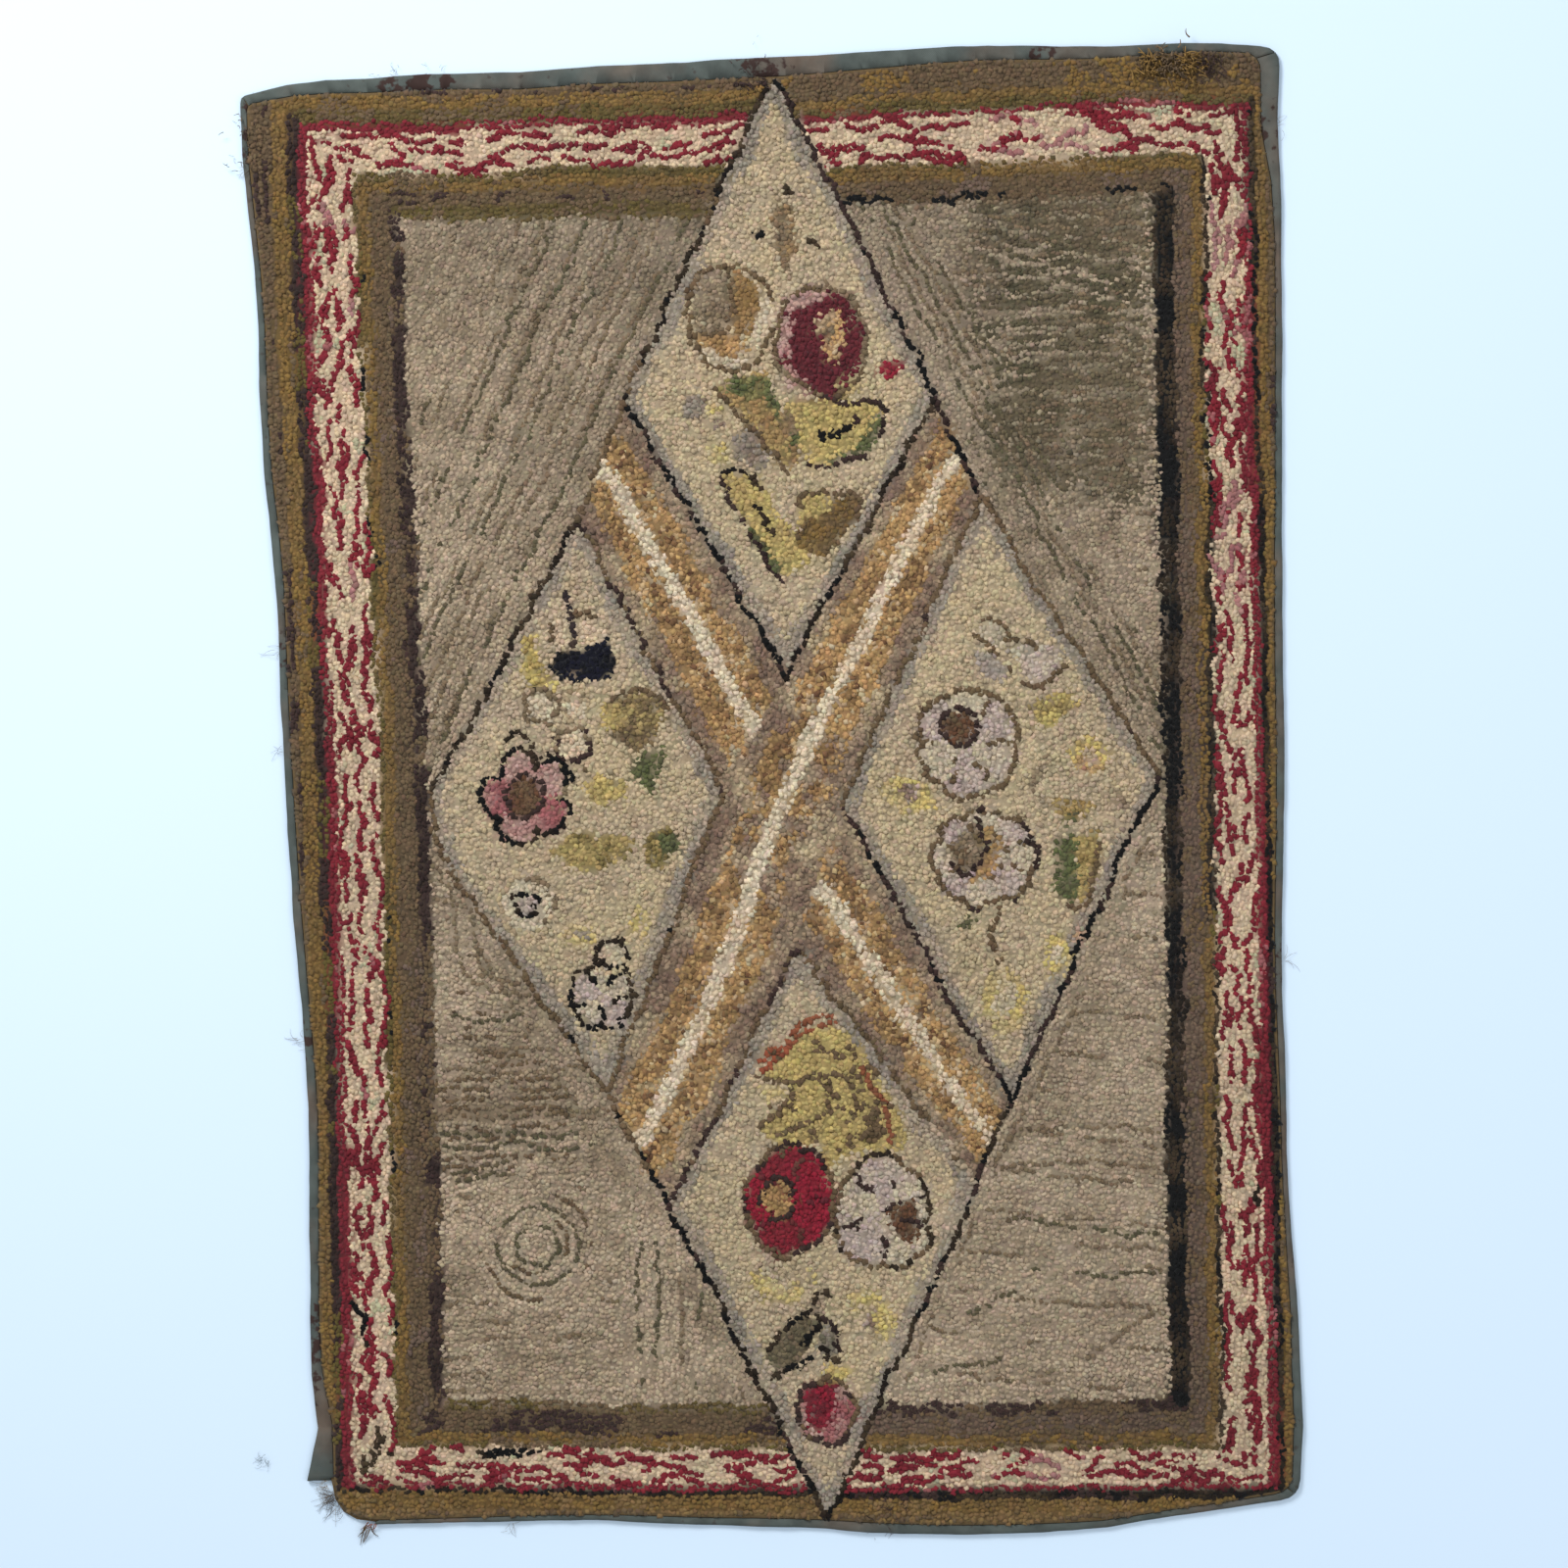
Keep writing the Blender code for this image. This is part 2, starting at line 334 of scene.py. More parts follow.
# Single darker rows in the four corners.
Trace = namedtuple("Trace", "yarn route")
TRACES = (
    Trace("clay//0.2", ((-262, -198), (-225, -200), (-168, -197))),
    Trace("clay//0.2", ((-258, -216), (-200, -219), (-128, -214))),
    Trace("umber/clay/0.5", ((-258, -248), (-200, -246), (-150, -249), (-124, -246))),
    Trace("umber/clay/0.6", ((-258, -252), (-190, -251), (-124, -252))),
    Trace("moss//0.2", ((-254, -262), (-230, -266), (-205, -260), (-180, -268), (-150, -264))),
    Trace("moss//0.2", ((-252, -272), (-228, -276), (-200, -270), (-170, -278), (-132, -275))),
    Trace("moss//0.1", ((-248, -294), (-225, -290), (-202, -284))),
    Trace("moss//0.1", ((-246, -299), (-222, -296), (-204, -292))),
    Trace("clay//0.1", ((-246, -40), (-243, -95), (-240, -140), (-205, -158), (-182, -156))),
    Trace("clay//0.2", ((-230, -80), (-226, -128), (-210, -146), (-190, -148))),
    Trace("moss//0.3", ((-248, -172), (-215, -178), (-188, -170))),
    Trace("moss//0.3", ((-100, -325), (-103, -380), (-98, -455))),
    Trace("moss//0.3", ((-89, -330), (-86, -390), (-90, -452))),
    Trace("clay//0.4", ((-72, -350), (-69, -400), (-71, -455))),
    Trace("moss//0.4", ((-57, -372), (-55, -420), (-58, -458))),
    Trace("moss//0.2", ((180, -330), (205, -331), (232, -337))),
    Trace("moss//0.2", ((244, -338), (270, -343), (298, -341))),
    Trace("moss//0.2", ((196, -366), (222, -368), (250, -374), (298, -371))),
    Trace("clay//0.3", ((226, -352), (262, -350), (298, -354))),
    Trace("moss//0.3", ((148, -400), (162, -398), (176, -386), (188, -382))),
    Trace("clay//0.3", ((205, -448), (240, -436), (275, -412), (298, -398))),
    Trace("moss//0.4", ((120, -446), (150, -438), (180, -436))),
    Trace("clay//0.3", ((190, -262), (230, -258), (298, -262))),
    Trace("clay//0.3", ((185, -290), (240, -284), (298, -290))),
)

# Flowers: middle, half width, half height, petals and how far the first is turned, depth
# of the notches between them, yarns of the petals, of every other one, of the line round
# them and of the seams between them.
Flower = namedtuple("Flower", "x y across up petals turn notch petal other line seam")
FLOWERS = (
    Flower(36, 343, 35, 42, 5, 60, 0.1, "burgundy", "burgundy", "clay/umber/0.4", None),
    Flower(-178, 61, 14, 14, 5, 90, 0.3, "white", "white", "clay/black/0.5", None),
    Flower(-150, 61, 12, 12, 5, 30, 0.3, "white", "cream", "beige/clay/0.4", None),
    Flower(-152, 32, 13, 14, 5, 60, 0.2, "white", "cream", "clay/dusk/0.3", None),
    Flower(-187, -7, 33, 34, 5, 108, 0.34, "petal_pink", "rose", "black/clay/0.15", None),
    Flower(-187, -89, 21, 23, 6, 0, 0.1, "white", "white", "beige/clay/0.4", None),
    Flower(-122, -128, 13, 12, 3, 90, 0.15, "white", "cream", "black/beige/0.4", None),
    Flower(-128, -159, 24, 25, 5, 90, 0.12, "white", "petal_lilac", "black", "black//0.1"),
    Flower(149, 35, 38, 40, 6, 30, 0.08, "petal_lilac", "white", "umber", "umber//0.2"),
    Flower(163, -54, 42, 36, 8, 0, 0.14, "white", "petal_lilac", "dusk/umber/0.6", "umber//0.4"),
    Flower(14, -315, 34, 43, 5, 36, 0.06, "scarlet", "crimson", "dusk/umber/0.4", "burgundy"),
    Flower(86, -325, 37, 42, 5, 20, 0.1, "white", "petal_lilac", "black/umber/0.5", "dusk//0.2"),
    Flower(42, -476, 23, 24, 5, 0, 0.1, "rose", "petal_pink", "umber/dusk/0.4", None),
)

# Plain shapes, laid one over another: the yarn, the yarn it is mottled with, and how much,
# and a few corners of its edge.
Patch = namedtuple("Patch", "yarn partner share route")
PATCHES = (
    Patch("clay", "ochre", 0.3, ((3, 448), (16, 444), (15, 400), (9, 388), (0, 418))),
    Patch("clay", "taupe", 0.2, ((-61, 390), (-36, 398), (-31, 372), (-34, 349), (-60, 345))),
    Patch("ochre", "gold", 0.3, ((-34, 396), (-14, 390), (-11, 376), (-16, 346), (-31, 348))),
    Patch("ochre", "honey", 0.3, ((-59, 347), (-29, 348), (-12, 332), (-38, 331), (-57, 337))),
    Patch("white", "cream", 0.3, ((-12, 377), (-2, 374), (-2, 350), (-8, 326), (-15, 346))),
    Patch("white", "cream", 0.2, ((-57, 337), (-38, 331), (-13, 330), (-22, 321), (-46, 324))),
    Patch("petal_pink", "rose", 0.2, ((8, 375), (22, 383), (47, 383), (22, 367), (11, 364))),
    Patch("petal_pink", "rose", 0.2, ((2, 363), (14, 362), (15, 330), (3, 330))),
    Patch("petal_pink", "rose", 0.2, ((6, 320), (18, 322), (28, 302), (15, 303))),
    Patch("honey", "taupe", 0.3, ((35, 358), (50, 366), (56, 352), (50, 324), (42, 324))),
    Patch("clay", "honey", 0.3, ((40, 352), (47, 353), (47, 344), (41, 342))),
    Patch("scarlet", "crimson", 0.3, ((80, 321), (88, 331), (99, 329), (97, 317), (90, 311))),
    Patch("lime", "beige", 0.5, ((44, 309), (66, 315), (78, 306), (58, 300))),
    Patch("mist", "mauve", 0.3, ((-66, 300), (-54, 303), (-46, 292), (-56, 281), (-66, 287))),
    Patch("mist", "mauve", 0.5, ((-46, 281), (-36, 283), (-34, 275), (-44, 272))),
    Patch("mist", "mauve", 0.2, ((-31, 268), (-14, 274), (1, 258), (-8, 244), (-27, 252))),
    Patch("straw", "beige", 0.4, ((-50, 294), (-36, 291), (-40, 284), (-50, 286))),
    Patch("straw", "beige", 0.3, ((-48, 262), (-36, 264), (-33, 250), (-44, 249))),
    Patch("ochre", "lime", 0.5, ((-40, 307), (-4, 318), (8, 288), (22, 262), (16, 242),
                                 (-4, 261), (-24, 283))),
    Patch("leaf", "lime", 0.2, ((-41, 307), (-26, 316), (-2, 311), (8, 294), (6, 279),
                                (-6, 296), (-26, 299))),
    Patch("lime", "straw", 0.4, ((10, 292), (42, 299), (78, 296), (84, 284), (78, 266),
                                 (52, 252), (30, 250), (16, 268))),
    Patch("leaf", "moss", 0.3, ((85, 286), (80, 266), (68, 255), (34, 250), (62, 260),
                                (72, 272), (76, 284))),
    Patch("clay", "ochre", 0.5, ((8, 286), (16, 288), (22, 262), (14, 246))),
    Patch("leaf", "moss", 0.2, ((12, 272), (22, 270), (20, 260), (14, 261))),
    Patch("lime", "straw", 0.3, ((-38, 240), (-24, 241), (-5, 229), (8, 208), (31, 176),
                                 (14, 163), (-18, 194))),
    Patch("leaf", "moss", 0.2, ((-22, 206), (-12, 196), (10, 170), (10, 161), (-14, 186))),
    Patch("umber", "gold", 0.6, ((46, 222), (69, 227), (64, 204), (40, 176), (24, 182),
                                 (17, 196))),
    Patch("lime", "straw", 0.3, ((24, 228), (46, 225), (44, 214), (18, 200))),
    Patch("cream", "white", 0.4, ((-170, 126), (-160, 131), (-154, 112), (-165, 105))),
    Patch("cream", "white", 0.4, ((-148, 128), (-136, 130), (-122, 118), (-136, 108), (-147, 107))),
    Patch("navy", "black", 0.2, ((-171, 95), (-165, 104), (-146, 104), (-125, 114), (-119, 103),
                                 (-123, 84), (-152, 80), (-167, 87))),
    Patch("straw", "gold", 0.25, ((-192, 115), (-183, 117), (-182, 98), (-162, 76), (-176, 73),
                                  (-191, 86))),
    Patch("umber", "lime", 0.4, ((-122, 67), (-105, 75), (-86, 71), (-82, 52), (-92, 34),
                                  (-104, 28), (-119, 40))),
    Patch("lime", "straw", 0.4, ((-130, 66), (-121, 66), (-119, 50), (-126, 48))),
    Patch("leaf", "moss", 0.2, ((-105, 24), (-85, 31), (-86, 13), (-94, -6), (-107, 12))),
    Patch("lime", "straw", 0.35, ((-145, 5), (-132, 12), (-109, -1), (-118, -12), (-142, -9))),
    Patch("lime", "olive", 0.4, ((-168, -46), (-154, -35), (-106, -39), (-114, -54), (-136, -62),
                                (-152, -60))),
    Patch("lime", "olive", 0.35, ((-98, -35), (-80, -28), (-73, -42), (-86, -61), (-96, -56))),
    Patch("leaf", "moss", 0.2, ((-86, -36), (-73, -36), (-72, -48), (-84, -50))),
    Patch("straw", "beige", 0.4, ((-100, -86), (-92, -100), (-97, -117), (-107, -104))),
    Patch("mist", "beige", 0.3, ((-101, -94), (-96, -102), (-100, -111), (-103, -102))),
    Patch("straw", "beige", 0.5, ((-163, -112), (-146, -104), (-130, -114), (-146, -123))),
    Patch("mist", "beige", 0.3, ((-154, -112), (-146, -108), (-140, -113), (-147, -117))),
    Patch("white", "mist", 0.6, ((156, 115), (166, 127), (180, 124), (186, 112), (174, 105))),
    Patch("petal_lilac", "mist", 0.5, ((155, 103), (172, 101), (184, 87), (176, 80), (161, 90))),
    Patch("petal_lilac", "white", 0.4, ((184, 108), (196, 114), (214, 110), (221, 98), (214, 85),
                                        (201, 80), (190, 90))),
    Patch("umber", "straw", 0.75, ((199, 66), (225, 71), (233, 63), (221, 53), (211, 44),
                                   (200, 52))),
    Patch("straw", "rose", 0.3, ((226, 28), (240, 40), (258, 30), (254, 14), (238, 10))),
    Patch("beige", "petal_pink", 0.5, ((234, 28), (244, 33), (250, 24), (240, 18))),
    Patch("straw", "beige", 0.4, ((84, 2), (96, 12), (116, 4), (124, -12), (100, -20), (86, -10))),
    Patch("mauve", "petal_lilac", 0.5, ((94, 2), (106, 4), (112, -6), (100, -10))),
    Patch("clay", "taupe", 0.4, ((209, 26), (214, 24), (202, -6), (196, -2))),
    Patch("gold", "lime", 0.5, ((215, -7), (246, -11), (242, -20), (228, -23), (216, -15))),
    Patch("moss", "leaf", 0.4, ((222, -22), (238, -20), (234, -27), (226, -28))),
    Patch("clay", "taupe", 0.3, ((256, -12), (266, -4), (272, -12), (262, -16))),
    Patch("leaf", "moss", 0.15, ((218, -37), (233, -35), (236, -83), (228, -87), (217, -76))),
    Patch("lime", "gold", 0.3, ((234, -36), (249, -33), (251, -48), (243, -84), (236, -86))),
    Patch("moss", "leaf", 0.5, ((138, -107), (152, -98), (158, -102), (148, -107))),
    Patch("straw", "beige", 0.4, ((208, -116), (222, -112), (232, -126), (222, -142), (210, -136))),
    Patch("white", "beige", 0.4, ((214, -121), (223, -122), (225, -135), (214, -134))),
    Patch("honey", "petal_pink", 0.5, ((232, -106), (242, -108), (240, -118), (232, -116))),
    Patch("straw", "beige", 0.5, ((166, -140), (184, -138), (196, -160), (188, -186), (172, -190),
                                  (163, -164))),
    Patch("white", "beige", 0.45, ((172, -148), (184, -148), (188, -164), (180, -180), (170, -166))),
    Patch("lime", "straw", 0.25, ((-11, -215), (4, -201), (34, -184), (51, -180), (74, -207),
                                 (98, -246), (106, -276), (56, -280), (50, -293), (38, -288),
                                 (38, -272), (-3, -268), (-10, -256), (14, -232), (14, -223))),
    Patch("beige", "straw", 0.3, ((-12, -224), (12, -226), (-4, -243))),
    Patch("straw", "beige", 0.5, ((-17, -376), (-4, -394), (16, -394), (36, -376), (30, -368),
                                  (12, -384), (-10, -368))),
    Patch("straw", "beige", 0.4, ((60, -386), (74, -384), (96, -400), (92, -422), (80, -420),
                                  (82, -402), (64, -400))),
    Patch("mauve", "petal_lilac", 0.4, ((70, -400), (80, -398), (82, -410), (72, -412))),
    Patch("moss", "clay", 0.6, ((-5, -430), (10, -412), (26, -404), (39, -410), (33, -425),
                                (16, -440), (0, -446))),
    Patch("mist", "moss", 0.4, ((41, -404), (52, -414), (54, -434), (36, -430))),
    Patch("taupe", "clay", 0.4, ((30, -400), (34, -388), (44, -384), (42, -400))),
    Patch("straw", "lime", 0.4, ((38, -446), (50, -440), (64, -446), (52, -455))),
)

# Shapes that lie over the flowers: hearts, petals and their shadows.
HEARTS = (
    Patch("heart", "umber", 0.3, ((-203, -8), (-198, 7), (-183, 8), (-173, -6), (-184, -23),
                                  (-196, -20))),
    Patch("petal_lilac", "mist", 0.3, ((-194, -84), (-186, -81), (-179, -88), (-184, -98),
                                       (-193, -97))),
    Patch("heart", "umber", 0.2, ((129, 48), (138, 59), (152, 57), (156, 44), (146, 33),
                                  (132, 36))),
    Patch("clay", "taupe", 0.2, ((134, -46), (143, -36), (156, -25), (164, -44), (158, -60),
                                 (146, -67), (136, -58))),
    Patch("honey", "ochre", 0.5, ((164, -27), (177, -42), (172, -60), (154, -72), (160, -62),
                                  (167, -46))),
    Patch("ochre", "honey", 0.3, ((-8, -316), (2, -298), (12, -304), (16, -318), (7, -328),
                                  (-2, -325))),
    Patch("heart", "umber", 0.2, ((88, -326), (100, -318), (112, -314), (115, -332), (109, -349),
                                  (98, -345))),
    Patch("scarlet", "burgundy", 0.5, ((26, -462), (38, -453), (52, -457), (47, -478), (40, -490),
                                       (26, -486))),
)

# Single rows of yarn that draw stems, veins and shadows over the shapes.
STROKES = (
    Trace("black", ((7, 455), (11, 461), (15, 455))),
    Trace("black", ((-16, 429), (-12, 424), (-6, 428))),
    Trace("black", ((26, 415), (32, 417), (37, 413))),
    Trace("umber//0.1", ((-62, 341), (-66, 368), (-56, 394), (-38, 401), (-22, 401), (-2, 382),
                         (-1, 352), (-9, 326), (-32, 318), (-52, 326), (-62, 341))),
    Trace("umber//0.3", ((-35, 398), (-31, 372), (-34, 349), (-59, 346))),
    Trace("umber//0.2", ((-42, 305), (-24, 283), (-4, 260), (12, 240))),
    Trace("dusk//0.2", ((38, 302), (60, 295), (78, 298), (87, 288), (82, 270))),
    Trace("black", ((33, 272), (42, 273), (50, 276), (61, 278))),
    Trace("black", ((34, 269), (44, 270), (52, 273))),
    Trace("dusk", ((60, 279), (66, 286))),
    Trace("dusk", ((28, 246), (48, 249), (72, 258))),
    Trace("black//0.2", ((-40, 243), (-24, 243), (-8, 230))),
    Trace("dusk//0.2", ((-38, 236), (-30, 216), (-20, 198), (-4, 176), (10, 160))),
    Trace("black", ((-16, 213), (-10, 213), (-4, 202), (4, 196))),
    Trace("umber", ((20, 214), (24, 228), (46, 226), (70, 229), (64, 206))),
    Trace("navy", ((-158, 151), (-155, 137), (-152, 120), (-152, 104))),
    Trace("umber", ((-150, 130), (-142, 134), (-132, 130))),
    Trace("umber", ((-171, 124), (-171, 112))),
    Trace("black", ((-205, 34), (-196, 40), (-187, 38), (-181, 24), (-176, 22))),
    Trace("black", ((-172, 27), (-168, 22), (-155, 14), (-149, 0))),
    Trace("umber", ((-122, 68), (-105, 77), (-86, 73), (-81, 58))),
    Trace("umber//0.3", ((-146, 12), (-132, 15), (-120, 12))),
    Trace("black", ((-196, -84), (-187, -79), (-177, -87), (-181, -99), (-193, -99), (-196, -84))),
    Trace("umber//0.2", ((155, 116), (171, 106), (177, 97), (186, 87), (193, 79), (203, 78),
                         (214, 85), (224, 95))),
    Trace("umber//0.2", ((164, 128), (176, 126), (184, 118), (179, 113), (193, 115), (203, 108))),
    Trace("dusk", ((127, 46), (136, 61), (150, 60), (158, 48), (152, 34), (136, 32), (127, 46))),
    Trace("dusk", ((156, -22), (166, -44), (160, -60), (147, -68), (138, -58))),
    Trace("dusk", ((-204, -6), (-197, 9), (-182, 10), (-172, -6), (-183, -25), (-198, -21),
                   (-204, -6))),
    Trace("umber//0.2", ((173, -92), (169, -104), (168, -121), (174, -135))),
    Trace("umber//0.3", ((251, -36), (252, -50), (245, -78), (238, -90), (226, -90))),
    Trace("brick", ((-11, -207), (10, -193), (32, -177), (46, -173))),
    Trace("brick", ((-9, -212), (12, -198), (34, -182), (50, -178))),
    Trace("umber", ((-10, -218), (12, -224), (26, -222), (44, -216), (62, -222))),
    Trace("umber", ((-12, -260), (-2, -246), (10, -238), (18, -226))),
    Trace("umber", ((2, -262), (24, -256), (42, -246))),
    Trace("umber//0.3", ((46, -218), (46, -240), (44, -262))),
    Trace("umber//0.3", ((62, -222), (66, -238), (58, -262), (66, -276))),
    Trace("brick", ((68, -212), (75, -224), (86, -240), (91, -256), (92, -272))),
    Trace("umber//0.3", ((-6, -200), (20, -208), (40, -200), (56, -206))),
    Trace("dusk", ((-10, -318), (0, -295), (14, -302), (19, -318), (8, -331), (-4, -328))),
    Trace("dusk//0.2", ((86, -325), (98, -316), (114, -311))),
    Trace("black", ((-5, -431), (10, -413), (24, -402), (38, -402), (36, -414), (26, -426))),
    Trace("black", ((-2, -449), (16, -440), (34, -434))),
    Trace("black", ((34, -428), (48, -436), (55, -440))),
    Trace("dusk//0.3", ((38, -402), (52, -412), (54, -434))),
    Trace("black", ((36, -390), (42, -383), (48, -390))),
)


# ---------------------------------------------------------------- helpers on arrays


def smooth_noise(x, y, size, seed):
    """Smooth random values from -1 to 1 that change over about this many millimetres."""
    lattice = np.random.default_rng(seed).uniform(-1, 1, (64, 64))
    u, v = x / size, y / size
    i, j = np.floor(u).astype(int), np.floor(v).astype(int)
    fu, fv = u - i, v - j
    fu, fv = fu * fu * (3 - 2 * fu), fv * fv * (3 - 2 * fv)
    i, j, right, up = i % 64, j % 64, (i + 1) % 64, (j + 1) % 64
    low = lattice[i, j] * (1 - fu) + lattice[right, j] * fu
    high = lattice[i, up] * (1 - fu) + lattice[right, up] * fu
    return low * (1 - fv) + high * fv


def corners_of(names):
    return np.array([POINTS[name] for name in names])


def inside(points, outline):
    """Which points lie inside a closed outline."""
    x, y = points[:, :1], points[:, 1:]
    ax, ay = outline[:, 0], outline[:, 1]
    bx, by = np.roll(ax, -1), np.roll(ay, -1)
    spans = (ay > y) != (by > y)
    with np.errstate(divide="ignore", invalid="ignore"):
        meets = ax + (y - ay) * (bx - ax) / (by - ay)
    return (spans & (x < meets)).sum(1) % 2 == 1


def distance_to(points, line):
    """Distance of each point from an open line of corners."""
    best = np.full(len(points), np.inf)
    for a, b in zip(line[:-1], line[1:]):
        along = b - a
        t = np.clip(((points - a) @ along) / (along @ along), 0, 1)
        best = np.minimum(best, np.linalg.norm(points - a - t[:, None] * along, axis=1))
    return best


def resampled(line, step, offset=0.0):
    """Places a step apart down a line, and the line's direction at each."""
    legs = np.diff(line, axis=0)
    lengths = np.linalg.norm(legs, axis=1)
    reach = np.concatenate(([0.0], np.cumsum(lengths)))
    at = np.arange(offset, reach[-1], step)
    leg = np.clip(np.searchsorted(reach, at, side="right") - 1, 0, len(legs) - 1)
    points = line[leg] + legs[leg] * ((at - reach[leg]) / lengths[leg])[:, None]
    return points, np.arctan2(legs[leg, 1], legs[leg, 0])


def inset_outline(outline, depth):
    """A clockwise or anticlockwise outline moved inwards by depth."""
    turn = np.sign(np.sum(outline[:, 0] * np.roll(outline[:, 1], -1)
                          - np.roll(outline[:, 0], -1) * outline[:, 1]))
    legs = np.roll(outline, -1, axis=0) - outline
    legs /= np.linalg.norm(legs, axis=1)[:, None]
    inwards = turn * np.stack((-legs[:, 1], legs[:, 0]), 1)
    before, before_in = np.roll(legs, 1, axis=0), np.roll(inwards, 1, axis=0)
    cross = before[:, 0] * legs[:, 1] - before[:, 1] * legs[:, 0]
    gap = depth * (inwards - before_in)
    t = (gap[:, 0] * legs[:, 1] - gap[:, 1] * legs[:, 0]) / cross
    return outline + depth * before_in + before * t[:, None]


# ---------------------------------------------------------------- which part of the rug


def band_edges(side, along, run=None):
    """How far out from the ground each band of a side begins, and where the last ends."""
    edge = np.interp(along, *GROUND_EDGE[side])
    total = OUTWARD[side] * (np.interp(along, *RIM[side]) - edge)
    start, end = GROUND_EDGE[side][0][0], GROUND_EDGE[side][0][-1]
    share = np.clip((along - start) / (end - start), 0, 1)
    runs = run_names(side, along) if run is None else np.full(len(along), run, dtype=object)
    edges = np.zeros((BAND_COUNT + 1, len(along)))
    for name in set(runs):
        here = runs == name
        for i, band in enumerate(BORDER[name]):
            width = band.near + (band.far - band.near) * share[here]
            edges[i + 1, here] = edges[i, here] + width
    edges[-1] = np.maximum(total, edges[-2] + 1.0)
    return edges


def run_names(side, along):
    """The border table that each place along a side follows."""
    if side in BORDER:
        return np.full(len(along), side, dtype=object)
    apex = POINTS["top" if side == "top" else "low"][0]
    return np.where(along < apex, side + "_left", side + "_right").astype(object)


def border_bands(points):
    """For each point, its side and how many bands out from the ground it lies."""
    counts = []
    for side in SIDES:
        along, across = points[:, 1 - ACROSS[side]], points[:, ACROSS[side]]
        depth = OUTWARD[side] * (across - np.interp(along, *GROUND_EDGE[side]))
        edges = band_edges(side, along)
        count = np.where(depth < 0, depth / 10, 0.0)
        for low, high in zip(edges[:-1], edges[1:]):
            count += np.clip((depth - low) / (high - low), 0, 1)
        counts.append(count)
    counts = np.stack(counts)
    return counts.argmax(0), counts.max(0)


GROUNDS = ("upper_left", "upper_right", "lower_left", "lower_right")
PARTS = (
    [f"border_{side}" for side in SIDES]
    + [f"ground_{name}" for name in GROUNDS]
    + [f"lozenge_{name}" for name in LOZENGES]
    + [f"band_{name}" for name in BANDS]
)
PART = {name: i for i, name in enumerate(PARTS)}
# How far inside the rim the outermost loops stand.
RIM_ROOM = 1.7


def rim_room(points, side):
    """How far inside the pile's rim on one side each point lies."""
    along, across = points[:, 1 - ACROSS[side]], points[:, ACROSS[side]]
    return OUTWARD[side] * (np.interp(along, *RIM[side]) - across)


def band_outline(name):
    first, second = BANDS[name]
    return corners_of(first + second[::-1])


def parts_at(points):
    """The number of the part of the rug that each point lies in, or -1 past the rim."""
    nearest, count = border_bands(points)
    ground = (points[:, 0] > 20).astype(int) + 2 * (points[:, 1] < 0)
    part = np.where(count > 0, nearest, PART["ground_upper_left"] + ground)
    for name, names in LOZENGES.items():
        part[inside(points, corners_of(names))] = PART["lozenge_" + name]
    for name in BANDS:
        part[inside(points, band_outline(name))] = PART["band_" + name]
    for side in SIDES:
        part[rim_room(points, side) < RIM_ROOM] = -1
    return part


# ---------------------------------------------------------------- hooking the rows

OUTLINE, PETAL, FILL = range(3)
CELL = 1.0
REACH = (430.0, 600.0)


